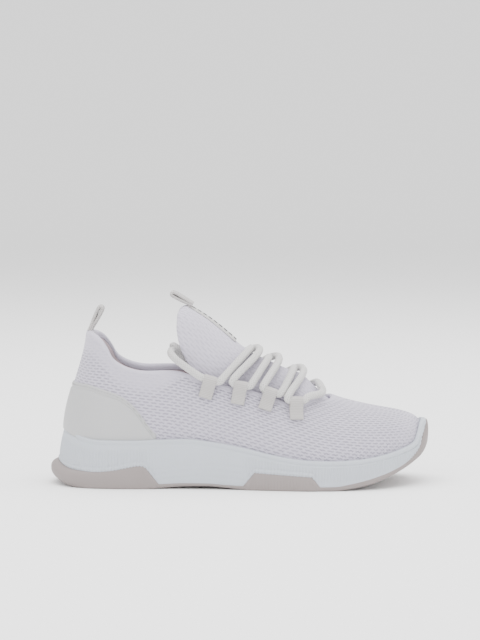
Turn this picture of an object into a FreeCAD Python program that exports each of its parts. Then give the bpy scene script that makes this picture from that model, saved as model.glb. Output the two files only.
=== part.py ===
"""Running shoe, right foot: sole unit, sock-fit mesh upper, padded tongue, webbing loops and lace.

Frame: +X towards the toe, +Y towards the medial side, +Z up, millimetres.
The origin is the centre of the footprint's bounding box, on the ground.
"""
import FreeCAD
import Part
import math
import os

V = FreeCAD.Vector
doc = FreeCAD.newDocument("running_shoe")

# ---------------------------------------------------------------- driving dimensions
DIMENSIONS = [
    ("overall_length", 297.0),
    ("overall_width", 108.0),
    ("layer_gap", 0.25),
    ("mesh_thickness", 1.5),
    ("lining_thickness", 0.7),
    ("reinforcement_thickness", 1.0),
    ("collar_foam_thickness", 3.6),
    ("overlay_thickness", 1.0),
    ("tongue_foam_thickness", 3.2),
    ("rubber_thickness", 3.2),
    ("rubber_wall", 4.0),
    ("midsole_rim", 4.2),
    ("board_thickness", 1.4),
    ("insole_thickness", 4.4),
    ("cloth_thickness", 0.7),
    ("flex_axis_x", 76.0),
    ("flex_axis_z", 23.2),
    ("flex_half_wedge", 17.0),
    ("flex_gap", 0.6),
    ("groove_width", 2.4),
    ("groove_depth", 1.5),
    ("webbing_width", 9.0),
    ("webbing_thickness", 1.1),
    ("loop_leg", 12.0),
    ("lace_diameter", 4.6),
    ("lace_clearance", 0.35),
    ("aglet_length", 18.0),
    ("tab_width", 15.0),
    ("tab_thickness", 1.2),
    ("tab_length", 19.0),
    ("heel_tab_height", 4.6),
    ("tongue_tab_height", 4.4),
    ("heel_tab_lean", 64.0),
    ("tongue_tab_lean", 151.4),
    ("strip_width", 14.0),
    ("tread_height", 1.0),
    ("tread_seam", 2.4),
]
sheet = doc.addObject("Spreadsheet::Sheet", "dimensions")
for row, (alias, value) in enumerate(DIMENSIONS, start=1):
    sheet.set(f"A{row}", alias)
    sheet.set(f"B{row}", str(value))
    sheet.setAlias(f"B{row}", alias)
doc.recompute()


def dim(alias):
    """A driving dimension's value, in millimetres or degrees."""
    return float(sheet.get(alias))


LENGTH_SCALE = dim("overall_length") / 297.0
WIDTH_SCALE = dim("overall_width") / 108.0
GAP = dim("layer_gap")
FLEX_X = dim("flex_axis_x")
FLEX_Z = dim("flex_axis_z")


# ---------------------------------------------------------------- curves of the shoe
def spline(points):
    """A smooth function through (x, value) points that never overshoots them."""
    xs = [p[0] for p in points]
    ys = [p[1] for p in points]
    steps = [xs[i + 1] - xs[i] for i in range(len(xs) - 1)]
    slopes = [(ys[i + 1] - ys[i]) / steps[i] for i in range(len(steps))]
    tangents = [slopes[0]]
    for i in range(1, len(slopes)):
        a, b = slopes[i - 1], slopes[i]
        tangents.append(0.0 if a * b <= 0 else 2.0 * a * b / (a + b))
    tangents.append(slopes[-1])

    def value(x):
        x = min(max(x, xs[0]), xs[-1])
        i = 0
        while i < len(steps) - 1 and x > xs[i + 1]:
            i += 1
        u = (x - xs[i]) / steps[i]
        h1 = u * u * (3.0 - 2.0 * u)
        return (
            ys[i] * (1.0 - h1)
            + ys[i + 1] * h1
            + steps[i] * u * (1.0 - u) * ((1.0 - u) * tangents[i] - u * tangents[i + 1])
        )

    return value


def smooth(u):
    """0 below 0, 1 above 1, and a smooth step between."""
    u = min(max(u, 0.0), 1.0)
    return u * u * (3.0 - 2.0 * u)


# Footprint of the rubber, from the heel round the lateral side to the toe and back.
FOOTPRINT = [
    (-148.5, 0.0), (-142.5, -22.0), (-127.0, -36.0), (-100.0, -41.5), (-60.0, -42.0),
    (-20.0, -44.5), (20.0, -50.0), (55.0, -54.0), (86.0, -52.0), (111.0, -43.5),
    (131.0, -29.5), (143.5, -13.0), (148.5, 4.0), (146.0, 19.5), (136.5, 34.0),
    (118.0, 46.5), (92.0, 53.5), (62.0, 53.5), (30.0, 45.5), (-5.0, 38.0),
    (-45.0, 36.5), (-80.0, 40.0), (-108.0, 40.5), (-129.0, 35.0), (-142.5, 21.5),
]
# Side-view lines, heights over the ground.
BITE_LINE = spline([
    (-143, 45.5), (-137, 44.4), (-128, 40.5), (-109, 37.2), (-84, 37.0), (-62, 37.8),
    (-42, 38.4), (-24, 36.6), (0, 32.6), (27, 26.5), (48, 23.4), (70, 22.6), (91, 23.3),
    (112, 26.0), (128, 29.8), (138, 33.5), (142, 40.0), (145, 47.5), (148, 50.5),
])
FOOTBED = spline([
    (-150, 29.5), (-130, 28.4), (-60, 27.4), (0, 21.4), (50, 15.9), (76, 15.6),
    (100, 18.0), (120, 22.4), (140, 28.5), (150, 31.5),
])
CROWN = spline([
    (58, 76.5), (64, 72.6), (76, 67.1), (88, 63.9), (100, 61.7), (112, 60.3), (124, 59.7), (146, 59.3),
])
RIDGE = spline([
    (-60, 141), (-40, 139.0), (-30, 134.5), (-20, 127.5), (-10, 119), (0, 110.0),
    (12, 101.5), (30, 93.5), (48, 85.0), (58, 76.5), (64, 72.6), (76, 67.0), (88, 63.8),
    (100, 61.2), (112, 59.2), (124, 57.4), (131, 56.1), (137, 54.2), (142, 51.8),
    (146, 49.5),
])
TOP_EDGE = spline([
    (-95, 97.0), (-89, 93.3), (-79, 91.1), (-65, 90.5), (-52, 91.0), (-44, 89.6),
    (-34, 85.6), (-24, 82.0), (0, 77.4), (20, 73.0), (42, 65.5), (52, 66.0), (58, 68.5),
])
COLLAR_BY_ANGLE = spline([(90, 97.0), (105, 106.0), (120, 114.0), (140, 118.5), (180, 120.8)])
OVERLAY_EDGE = spline([
    (-138, 80.0), (-120, 79.7), (-104, 75.6), (-95, 72.6), (-88, 68.8), (-81, 62.8),
    (-75, 55.0), (-69.5, 47.0), (-64, 40.0),
])
ARCH_POWER = spline([(-45, 2.0), (0, 1.85), (45, 1.8), (90, 2.1), (125, 2.5), (146, 2.4)])
TOP_HALF_WIDTH = spline([(-95, 30.0), (-80, 31.8), (-65, 32.6), (-55, 33.0), (-45, 33.2)])


def inset(points, distance, heel_extra=0.0):
    """The footprint moved inwards, by more at the back of the heel."""
    moved = []
    count = len(points)
    for i, (x, y) in enumerate(points):
        ax, ay = points[i - 1]
        bx, by = points[(i + 1) % count]
        tangent_x, tangent_y = bx - ax, by - ay
        size = math.hypot(tangent_x, tangent_y)
        d = distance + heel_extra * smooth((-112.0 - x) / 28.0)
        moved.append((x - tangent_y / size * d, y + tangent_x / size * d))
    return moved


def closed_curve(points, z=0.0):
    """A closed smooth wire through plan points."""
    curve = Part.BSplineCurve()
    curve.interpolate([V(x, y, z) for x, y in points], PeriodicFlag=True)
    return Part.Wire([curve.toShape()])


def scaled(points):
    return [(x * LENGTH_SCALE, y * WIDTH_SCALE) for x, y in points]


HEEL_STEP = 4.4
MIDSOLE_STEP = 1.5
rubber_plan = scaled(FOOTPRINT)
midsole_plan = inset(rubber_plan, MIDSOLE_STEP, HEEL_STEP)
cavity_plan = inset(midsole_plan, dim("midsole_rim"))
upper_plan = inset(midsole_plan, dim("midsole_rim") + GAP)
upper_polygon = [
    (p.x, p.y) for p in closed_curve(upper_plan).Edges[0].Curve.discretize(720)
]


def reach(origin, angle_deg):
    """Distance from a plan point to the upper's outline, in a direction."""
    ox, oy = origin
    dx, dy = math.cos(math.radians(angle_deg)), math.sin(math.radians(angle_deg))
    best = 0.0
    for i in range(len(upper_polygon)):
        ax, ay = upper_polygon[i - 1]
        bx, by = upper_polygon[i]
        ex, ey = bx - ax, by - ay
        cross = dx * ey - dy * ex
        if abs(cross) < 1e-12:
            continue
        s = ((ax - ox) * ey - (ay - oy) * ex) / cross
        u = ((ax - ox) * dy - (ay - oy) * dx) / cross
        if 0.0 <= u <= 1.0 and s > best:
            best = s
    return best


# ---------------------------------------------------------------- surface of the upper
HEEL_PIVOT_X = -95.0
THROAT_X = 58.0
ROWS_BELOW = 3
ROWS_ABOVE = 15
ROW_COUNT = ROWS_BELOW + ROWS_ABOVE
SIDE_XS = (58.0, 48.0, 38.0, 27.0, 16.0, 5.0, -7.0, -19.0, -31.0, -43.0, -54.0, -67.0, -81.0)
HEEL_ANGLES = (90.0, 104.0, 118.0, 132.0, 146.0, 158.0, 169.0)
TOE_ANGLES = (80.0, 70.0, 61.0, 52.0, 44.0, 36.0, 28.0, 20.0, 12.5, 6.0)


def bottom_rows(origin, direction, base, floor, bite):
    """Points of the wall inside the sole, tucked in a little at the footbed."""
    points = []
    for i in range(ROWS_BELOW):
        z = floor + (bite - floor) * i / ROWS_BELOW
        r = base - 1.2 * (1.0 - i / ROWS_BELOW)
        points.append(V(origin[0] + r * direction[0], r * direction[1], z))
    return points


def side_column(x, side, angle=90.0):
    """Outer-surface points in one upright plane, from the footbed to the collar or throat edge."""
    direction = (math.cos(math.radians(angle)), side * math.sin(math.radians(angle)))
    origin = (x, 0.0)
    base = reach(origin, side * angle)
    at = x + base * direction[0] if angle > 90.0 else x
    bite = BITE_LINE(at)
    top = COLLAR_BY_ANGLE(angle) if angle > 90.0 else TOP_EDGE(x)
    back = smooth((angle - 90.0) / 90.0)
    top_radius = TOP_HALF_WIDTH(x) * (1.0 - back) + 25.5 * back
    power = ARCH_POWER(x)
    walled = smooth((-43.0 - x) / 24.0)
    points = bottom_rows(origin, direction, base, FOOTBED(at) + GAP, bite)
    for i in range(ROWS_ABOVE):
        v = i / (ROWS_ABOVE - 1)
        z = bite + (top - bite) * v
        ratio = min((z - bite) / (RIDGE(x) - bite), 1.0)
        arch = base * (1.0 - ratio**power) ** (1.0 / power)
        wall = base + (top_radius - base) * (0.75 * smooth(v) + 0.25 * v)
        r = arch * (1.0 - walled) + wall * walled
        points.append(V(x + r * direction[0], r * direction[1], z))
    return points


def toe_column(angle):
    """Outer-surface points over the toe box, on a ray from the throat's front end."""
    direction = (math.cos(math.radians(angle)), math.sin(math.radians(angle)))
    base = reach((THROAT_X, 0.0), angle)
    bite = BITE_LINE(min(THROAT_X + base * direction[0], 144.0))
    forward = direction[0] ** 2
    power = ARCH_POWER(THROAT_X) * (1.0 - forward) + 3.2 * forward
    edge = THROAT_HALF * (1.0 - 0.55 * forward) / base
    floor = FOOTBED(THROAT_X + base * direction[0]) + GAP
    points = bottom_rows((THROAT_X, 0.0), direction, base, floor, bite)
    for i in range(ROWS_ABOVE):
        share = 1.0 - (1.0 - edge) * (i / (ROWS_ABOVE - 1)) ** power
        x = THROAT_X + share * base * direction[0]
        z = bite + (CROWN(x) - bite) * (1.0 - share**power) ** (1.0 / power)
        points.append(V(x, share * base * direction[1], z))
    return points


def outward_normals(grid, closed):
    """Unit normals of a grid of points, on the side that faces out of the shoe."""
    count = len(grid)
    normals = []
    for i, column in enumerate(grid):
        before = grid[i - 1] if (closed or i > 0) else column
        after = grid[(i + 1) % count] if (closed or i < count - 1) else column
        line = []
        for j in range(len(column)):
            along = after[j] - before[j]
            up = column[min(j + 1, len(column) - 1)] - column[max(j - 1, 0)]
            normal = up.cross(along)
            normal.normalize()
            line.append(normal)
        normals.append(line)
    return normals


side_lateral = [side_column(x, -1) for x in SIDE_XS]
THROAT_HALF = -side_lateral[0][-1].y
heel_lateral = [side_column(HEEL_PIVOT_X, -1, a) for a in HEEL_ANGLES]
heel_back = [side_column(HEEL_PIVOT_X, 1, 180.0)]
heel_medial = [side_column(HEEL_PIVOT_X, 1, a) for a in reversed(HEEL_ANGLES)]
side_medial = [side_column(x, 1) for x in reversed(SIDE_XS)]
toe_box = [toe_column(a) for a in TOE_ANGLES + (0.0,) + tuple(-a for a in reversed(TOE_ANGLES))]
RING = side_lateral + heel_lateral + heel_back + heel_medial + side_medial + toe_box
NORMALS = outward_normals(RING, True)
QUARTER_COUNT = len(RING) - len(toe_box)


def column_at(i, v):
    """Point and normal of the outer surface: i counts columns round the ring, v runs 0 to 1 upwards."""
    k = i % len(RING)
    place = v * (ROW_COUNT - 1)
    j = min(int(place), ROW_COUNT - 2)
    share = place - j
    point = RING[k][j] * (1.0 - share) + RING[k][j + 1] * share
    normal = NORMALS[k][j] * (1.0 - share) + NORMALS[k][j + 1] * share
    normal.normalize()
    return point, normal


def skin(grid):
    surface = Part.BSplineSurface()
    surface.interpolate(grid)
    return surface


def thick_solid(outer_grid, inner_grid):
    """The closed solid between two smooth skins with matching grids."""
    outer, inner = skin(outer_grid), skin(inner_grid)
    faces = [outer.toShape(), inner.toShape()]
    u0, u1, v0, v1 = outer.bounds()
    a0, a1, b0, b1 = inner.bounds()
    borders = [
        (outer.uIso(u0), inner.uIso(a0)), (outer.uIso(u1), inner.uIso(a1)),
        (outer.vIso(v0), inner.vIso(b0)), (outer.vIso(v1), inner.vIso(b1)),
    ]
    for a, b in borders:
        faces.append(Part.makeRuledSurface(a.toShape(), b.toShape()))
    shell = Part.makeCompound(faces)
    shell.sewShape(0.02)
    solid = Part.makeSolid(shell.Shells[0])
    if solid.Volume < 0:
        solid.reverse()
    return solid


def layer(columns, v_low, v_high, outer_depth, inner_depth, count=ROW_COUNT):
    """A layer under the outer surface: depths are functions of the column and the height fraction."""
    grids = ([], [])
    for i in columns:
        low, high = v_low(i), v_high(i)
        lines = ([], [])
        for j in range(count):
            v = low + (high - low) * j / (count - 1)
            point, normal = column_at(i, v)
            for line, depth in zip(lines, (outer_depth, inner_depth)):
                line.append(point - normal * depth(i, v))
        for grid, line in zip(grids, lines):
            grid.append(line)
    return thick_solid(*grids)


def curve_through(points):
    curve = Part.BSplineCurve()
    curve.interpolate(points)
    return curve.toShape()


# ---------------------------------------------------------------- document objects
def feature(name, shape):
    """A free-form piece, whose shape is worked out above from the sheet."""
    made = doc.addObject("Part::Feature", name)
    made.Shape = shape
    return made


def box(name, low, high):
    made = doc.addObject("Part::Box", name)
    made.Length, made.Width, made.Height = (high[i] - low[i] for i in range(3))
    made.Placement.Base = V(*low)
    return made


def boolean(kind, name, base, tool):
    made = doc.addObject(f"Part::{kind}", name)
    made.Base, made.Tool = base, tool
    return made


def plan_prism(name, points):
    """The plan outline raised to a prism that is taller than the sole."""
    outline = feature(name + "_outline", closed_curve(points, -2.0))
    prism = doc.addObject("Part::Extrusion", name)
    prism.Base = outline
    prism.DirMode = "Custom"
    prism.Dir = V(0, 0, 1)
    prism.Solid = True
    prism.setExpression("LengthFwd", "dimensions.overall_width * 0.6")
    return prism


def side_prism(name, edges):
    """A side-view outline stretched across the whole width."""
    outline = feature(name + "_outline", Part.Wire(edges))
    prism = doc.addObject("Part::Extrusion", name)
    prism.Base = outline
    prism.DirMode = "Custom"
    prism.Dir = V(0, 1, 0)
    prism.Solid = True
    prism.Symmetric = True
    prism.setExpression("LengthFwd", "dimensions.overall_width * 1.2")
    return prism


def side_curve(points):
    return curve_through([V(x * LENGTH_SCALE, 0, z) for x, z in points])


def side_line(a, b):
    return Part.makeLine(V(a[0] * LENGTH_SCALE, 0, a[1]), V(b[0] * LENGTH_SCALE, 0, b[1]))


def sampled(line, xs, lift=0.0):
    return [(x, line(x) + lift) for x in xs]


HEEL_X, TOE_X = -152.0, 152.0
PROFILE_XS = [HEEL_X, -140, -128, -112, -96, -80, -62, -42, -24, -8, 10, 27, 48, 62, 76, 91, 105,
              118, 128, 136, 140, 143, 146, TOE_X]


def band(name, low_points, high_points):
    """A side-view band between two smooth lines with the same end stations."""
    return side_prism(name, [
        side_curve(low_points),
        side_line(low_points[-1], high_points[-1]),
        side_curve(list(reversed(high_points))),
        side_line(high_points[0], low_points[0]),
    ])


# ---------------------------------------------------------------- sole unit
def sole_unit():
    """Rubber tray and foam midsole, before the split at the flex line."""
    low = dim("tread_height")
    ground = [
        side_curve([
            (-152, 25), (-149, 15.5), (-147.5, 10.6), (-144, 6), (-139, 3), (-133, low + 0.4), (-125, low),
        ]),
        side_line((-125, low), (-75, low)),
        side_curve([
            (-75, low), (-60, low + 0.5), (-40, low + 1.4), (-25, low + 1.5), (-8, low + 0.7), (6, low),
        ]),
        side_line((6, low), (72, low)),
        side_curve([
            (72, low), (84, 2.0), (100, 4.4), (115, 9.2), (131, 16.5), (142.5, 25), (147.5, 34), (152, 52),
        ]),
    ]
    toe_strip = [
        (152, 56), (147.5, 50.5), (145.5, 44.5), (142.5, 37), (139.5, 29), (132, 20.8), (123, 15.8),
        (107.5, 10.4), (84, 5.2), (73, 3.6), (61.3, 3.4),
    ]
    heel_pad = [
        (-77, 18), (-85, 16.9), (-98, 14.3), (-112, 13), (-130, 13.8), (-137, 15.5), (-145, 20.4), (-152, 27),
    ]
    rubber_top = [
        side_curve(toe_strip),
        side_line(toe_strip[-1], (54.9, 10.9)),
        side_line((54.9, 10.9), (11, 13.6)),
        side_line((11, 13.6), (2.5, 3.4)),
        side_curve([(2.5, 3.4), (-10, 4.1), (-24, 4.7), (-41.8, 4.7), (-62.5, 4.2)]),
        side_line((-62.5, 4.2), (-72.5, 16.5)),
        side_line((-72.5, 16.5), heel_pad[0]),
        side_curve(heel_pad),
    ]
    rubber_band = side_prism("rubber_band", ground + [side_line((152, 52), (152, 56))] + rubber_top
                             + [side_line((-152, 27), (-152, 25))])
    rubber_block = boolean("Common", "rubber_block", plan_prism("rubber_prism", rubber_plan), rubber_band)

    core_plan = inset(rubber_plan, dim("rubber_wall"), HEEL_STEP)
    lift = low + dim("rubber_thickness")
    core_floor = [
        (-152, 30), (-146, 17), (-140, 6 + lift), (-125, 0.6 + lift), (-100, lift), (-75, lift),
        (-40, 1.4 + lift), (-8, 0.7 + lift), (6, lift), (40, lift), (72, lift), (84, 0.9 + lift),
        (100, 3.2 + lift), (115, 8.4 + lift), (131, 15.9 + lift), (140, 23.2 + lift), (152, 38),
    ]
    core_top = [(-152, 60), (152, 60)]
    core_band = side_prism("core_band", [
        side_curve(core_floor),
        side_line(core_floor[-1], core_top[1]),
        side_line(core_top[1], core_top[0]),
        side_line(core_top[0], core_floor[0]),
    ])
    core = boolean("Common", "core", plan_prism("core_prism", core_plan), core_band)
    rubber_tray = boolean("Cut", "rubber_tray", rubber_block, core)

    foam_low = side_prism("foam_band", ground + [
        side_line((152, 52), (152, BITE_LINE(152))),
        side_curve(sampled(BITE_LINE, list(reversed(PROFILE_XS)))),
        side_line((-152, BITE_LINE(-152)), (-152, 25)),
    ])
    foam_block = boolean("Common", "foam_block", plan_prism("foam_prism", midsole_plan), foam_low)
    foam_seat = boolean("Cut", "foam_seat", foam_block, rubber_tray)
    cavity_band = band("cavity_band", sampled(FOOTBED, PROFILE_XS), [(x, 90.0) for x in PROFILE_XS])
    cavity = boolean("Common", "cavity", plan_prism("cavity_prism", cavity_plan), cavity_band)
    foam = boolean("Cut", "foam", foam_seat, cavity)
    return rubber_tray, foam


def split_at_flex(name, whole):
    """The rear and toe halves of a sole layer, a flex gap apart at the flex line."""
    half_gap = 0.5 * dim("flex_gap")
    rear_keep = box(name + "_rear_keep", (-200, -100, -20), (FLEX_X - half_gap, 100, 160))
    toe_keep = box(name + "_toe_keep", (FLEX_X + half_gap, -100, -20), (200, 100, 160))
    rear = boolean("Common", name + "_rear", whole, rear_keep)
    toe = boolean("Common", name + "_toe", whole, toe_keep)
    return rear, toe


def cross_grooves(name, base, xs):
    """Cuts flex grooves across the tread."""
    current = base
    for i, x in enumerate(xs):
        groove = doc.addObject("Part::Box", f"{name}_groove_{i + 1}")
        groove.setExpression("Length", "dimensions.groove_width")
        groove.setExpression("Height", "dimensions.groove_depth + dimensions.tread_height")
        groove.setExpression("Width", "dimensions.overall_width * 1.2")
        groove.Placement.Base = V(x - 0.5 * dim("groove_width"), -0.6 * dim("overall_width"), 0)
        current = boolean("Cut", f"{name}_cut_{i + 1}", current, groove)
    return current


# Rows of tread blocks: (rear x, front x), and how far the outer side stands from the centre line.
TREAD_ROWS = {
    "heel_1": (-122.0, -101.7, 29.0), "heel_2": (-99.3, -79.0, 31.0),
    "ball_1": (7.0, 22.8, 33.0), "ball_2": (25.2, 40.8, 36.0), "ball_3": (43.2, 59.0, 40.0),
}


def tread_blocks():
    """The flat-bottomed rubber blocks that the shoe stands on, two to a row."""
    half_seam = 0.5 * dim("tread_seam")
    for row, (rear, front, reach_out) in TREAD_ROWS.items():
        for side, low_y in (("lateral", -reach_out), ("medial", half_seam)):
            name = f"tread_block_{row}_{side}"
            block = doc.addObject("Part::Box", name)
            block.Length = front - rear
            block.setExpression("Width", f"{reach_out} - dimensions.tread_seam / 2")
            block.setExpression("Height", "dimensions.tread_height")
            block.Placement.Base = V(rear, low_y, 0)
            yield name, block


def footbed_layer(name, low, high):
    """A flat layer on the footbed, between two heights over it."""
    edge = dim("midsole_rim") + GAP + 4.0
    plan = inset(midsole_plan, edge + 0.9)
    layer_band = band(name + "_band", sampled(FOOTBED, PROFILE_XS, low), sampled(FOOTBED, PROFILE_XS, high))
    return boolean("Common", name, plan_prism(name + "_prism", plan), layer_band)


# ---------------------------------------------------------------- upper
def side_prism_face(points):
    wire = Part.makePolygon([V(x, -80, z) for x, z in points + points[:1]])
    return Part.Face(wire).extrude(V(0, 160, 0))


def under_curve(curve_points, low_z):
    """Everything under a side-view curve, across the whole width."""
    first, last = curve_points[0], curve_points[-1]
    edges = [
        side_curve(curve_points),
        side_line(last, (last[0], low_z)),
        side_line((last[0], low_z), (first[0], low_z)),
        side_line((first[0], low_z), first),
    ]
    face = Part.Face(Part.Wire(edges))
    face.translate(V(0, -80, 0))
    return face.extrude(V(0, 160, 0))


def flex_wedges():
    """Tools that split the upper over the flex axis: what stays behind, the wedge, what goes in front."""
    slope = math.tan(math.radians(dim("flex_half_wedge")))
    top = 150.0
    run = (top - FLEX_Z) * slope
    g = 0.5 * dim("flex_gap")
    rear = side_prism_face([
        (-200, -20), (FLEX_X - g, -20), (FLEX_X - g, FLEX_Z), (FLEX_X - g - run, top), (-200, top),
    ])
    toe = side_prism_face([
        (200, -20), (FLEX_X + g, -20), (FLEX_X + g, FLEX_Z), (FLEX_X + g + run, top), (200, top),
    ])
    lift = 3.0
    wedge = side_prism_face([
        (FLEX_X - lift * slope + g, FLEX_Z + lift), (FLEX_X + lift * slope - g, FLEX_Z + lift),
        (FLEX_X - g + run, top), (FLEX_X + g - run, top),
    ])
    return rear, wedge, toe


def constant(value):
    return lambda i, v=0.0: value


BITE_V = ROWS_BELOW / (ROW_COUNT - 1)


def base_x(i):
    return RING[i % len(RING)][ROWS_BELOW].x


def v_of_height(i, z):
    """Height fraction of a side or heel column at a height."""
    bite, top = RING[i][ROWS_BELOW].z, RING[i][-1].z
    return BITE_V + (1.0 - BITE_V) * (z - bite) / (top - bite)


def upper():
    mesh = dim("mesh_thickness")
    stiff = dim("reinforcement_thickness")
    lining = dim("lining_thickness")
    foam = dim("collar_foam_thickness")
    overlay = dim("overlay_thickness")
    under_mesh = mesh + GAP
    lining_depth = under_mesh + stiff + GAP
    quarters = range(QUARTER_COUNT)
    vamp = range(QUARTER_COUNT - 1, len(RING) + 1)
    zero, full = constant(0.0), constant(1.0)

    def padding(i, v):
        """How far the collar foam pushes the lining inwards."""
        place = RING[i][-1].x
        along = smooth((-42.0 - place) / 22.0)
        drop = (1.0 - v) / (1.0 - BITE_V) * (RING[i][-1].z - RING[i][ROWS_BELOW].z)
        return (foam - stiff + GAP) * along * smooth((35.0 - drop) / 10.0)

    yield "mesh_quarters", layer(quarters, zero, full, constant(0.0), constant(mesh))
    yield "lining_quarters", layer(
        quarters, zero, constant(0.992), lambda i, v: lining_depth + padding(i, v),
        lambda i, v: lining_depth + padding(i, v) + lining)
    collar = range(9, QUARTER_COUNT - 9)
    yield "collar_foam", layer(
        collar, lambda i: v_of_height(i, RING[i][-1].z - 30.0), constant(0.985), constant(under_mesh + 0.3),
        lambda i, v: lining_depth - GAP - 0.1 + padding(i, v))
    heel = range(11, QUARTER_COUNT - 11)
    counter = layer(
        heel, constant(0.02), constant(0.8), constant(under_mesh + 0.2), constant(under_mesh + stiff - 0.2))
    counter_top = [(-150, 84), (-130, 83), (-112, 74), (-98, 57), (-84, 52), (-60, 44)]
    yield "heel_counter", counter.common(under_curve(counter_top, 0.0))
    panel_gap = 0.45
    panel = layer(
        heel, constant(BITE_V + 0.013), constant(0.8), constant(-overlay - panel_gap), constant(-panel_gap))
    edge_xs = (-138, -129, -120, -112, -104, -95, -88, -81, -75, -69.5, -64)
    edge = [(-150, 80.2)] + sampled(OVERLAY_EDGE, edge_xs) + [(-58, 32)]
    yield "heel_overlay", panel.common(under_curve(edge, 0.0))

    stay = {"eyestay_lateral": range(1, 9), "eyestay_medial": range(QUARTER_COUNT - 9, QUARTER_COUNT - 1)}
    for name, columns in stay.items():
        yield name, layer(columns, lambda i: v_of_height(i, RING[i][-1].z - 13.0), constant(0.99),
                          constant(under_mesh), constant(under_mesh + 0.7), 6)

    rear_tool, wedge_tool, toe_tool = flex_wedges()
    whole = layer(vamp, zero, full, constant(0.0), constant(mesh))
    yield "mesh_vamp", whole.common(rear_tool)
    yield "mesh_vamp_flex", whole.common(wedge_tool)
    yield "mesh_toe_box", whole.common(toe_tool)
    inside = layer(vamp, zero, constant(0.99), constant(lining_depth), constant(lining_depth + lining))
    yield "lining_vamp", inside.common(rear_tool)
    yield "lining_vamp_flex", inside.common(wedge_tool)
    yield "lining_toe", inside.common(toe_tool)


# ---------------------------------------------------------------- tongue
# Each line: centre x, z on the instep; edge x, z in side view; half width at the edges.
TONGUE_SECTIONS = [
    (76.0, 60.4, 76.0, 56.0, 14.0), (68.0, 64.6, 67.0, 56.5, 20.0), (57.0, 74.4, 55.0, 57.5, 25.0),
    (46.0, 84.6, 42.0, 61.0, 28.5), (30.0, 92.2, 24.0, 66.0, 27.8),
    (12.0, 100.6, 4.0, 71.0, 27.2), (0.0, 108.4, -14.0, 76.0, 27.0), (-8.6, 116.0, -27.0, 83.0, 27.5),
    (-15.8, 122.0, -38.0, 93.0, 28.0), (-22.8, 127.4, -44.5, 104.0, 28.5), (-29.6, 132.0, -48.0, 115.0, 28.0),
    (-35.3, 135.4, -49.5, 125.0, 25.5), (-40.0, 138.2, -49.5, 133.0, 20.0),
    (-43.5, 139.6, -47.5, 138.0, 11.0),
]
TONGUE_START = 1.45
TONGUE_SPLIT = 6
STRIP_END = 9.9
STRIP_LIFTS = (1.8, 0.7)
TONGUE_COLUMNS = 15
TONGUE_SWEEP = math.radians(86.0)


def tongue_lines():
    xs = range(len(TONGUE_SECTIONS))
    return [spline([(i, TONGUE_SECTIONS[i][k]) for i in xs]) for k in range(5)]


def tongue_grid(start, end, step):
    """Outer-face points of the tongue between two section numbers."""
    lines = tongue_lines()
    count = max(3, int(round((end - start) / step)) + 1)
    grid = []
    for i in range(count):
        s = start + (end - start) * i / (count - 1)
        cx, cz, ex, ez, half = (line(s) for line in lines)
        row = []
        for j in range(TONGUE_COLUMNS):
            a = TONGUE_SWEEP * (2.0 * j / (TONGUE_COLUMNS - 1) - 1.0)
            width = half - (6.0 * smooth((11.5 - s) / 5.0) if a > 0 else 0.6)
            drop = (1.0 - math.cos(a)) / (1.0 - math.cos(TONGUE_SWEEP))
            y = width * math.sin(a) / math.sin(TONGUE_SWEEP)
            row.append(V(cx + (ex - cx) * drop, y, cz + (ez - cz) * drop))
        grid.append(row)
    return grid


def tongue_layer(start, end, outer_depth, inner_depth):
    grid = tongue_grid(start, end, 0.5)
    normals = outward_normals(grid, False)
    centre = normals[len(grid) // 2][TONGUE_COLUMNS // 2]
    sign = 1.0 if centre.z + centre.x > 0 else -1.0
    grids = []
    for depth in (outer_depth, inner_depth):
        grids.append([[p - n * sign * depth for p, n in zip(row, line)] for row, line in zip(grid, normals)])
    return thick_solid(*grids)


def tongue():
    face, lining = 1.0, dim("lining_thickness")
    foam = dim("tongue_foam_thickness")
    last = len(TONGUE_SECTIONS) - 1
    halves = {"lower": (TONGUE_START, TONGUE_SPLIT - 0.03), "flap": (TONGUE_SPLIT + 0.03, last)}
    for label, (start, end) in halves.items():
        inset_end = 0.12 if label == "flap" else 0.0
        yield f"tongue_face_{label}", tongue_layer(start, end, 0.0, face)
        yield f"tongue_foam_{label}", tongue_layer(start, end - inset_end, face + 0.1, face + foam - 0.1)
        yield f"tongue_lining_{label}", tongue_layer(start, end, face + foam, face + foam + lining)


# ---------------------------------------------------------------- footbed layers
def footbed_pieces():
    board = dim("board_thickness")
    cloth_low = board + dim("insole_thickness") + 0.7
    layers = {
        "strobel_board": (0.3, 0.3 + board),
        "insole": (board + 0.6, board + 0.6 + dim("insole_thickness")),
        "insole_cloth": (cloth_low, cloth_low + dim("cloth_thickness")),
    }
    for name, (low, high) in layers.items():
        rear, toe = split_at_flex(name, footbed_layer(name, low, high))
        yield name + "_rear", rear
        yield name + "_toe", toe


# ---------------------------------------------------------------- webbing loops
LOOP_XS = (-25.0, -1.0, 21.0, 43.0)
LOOP_DROP = 6.0
LOOP_GAP = 0.35


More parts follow.
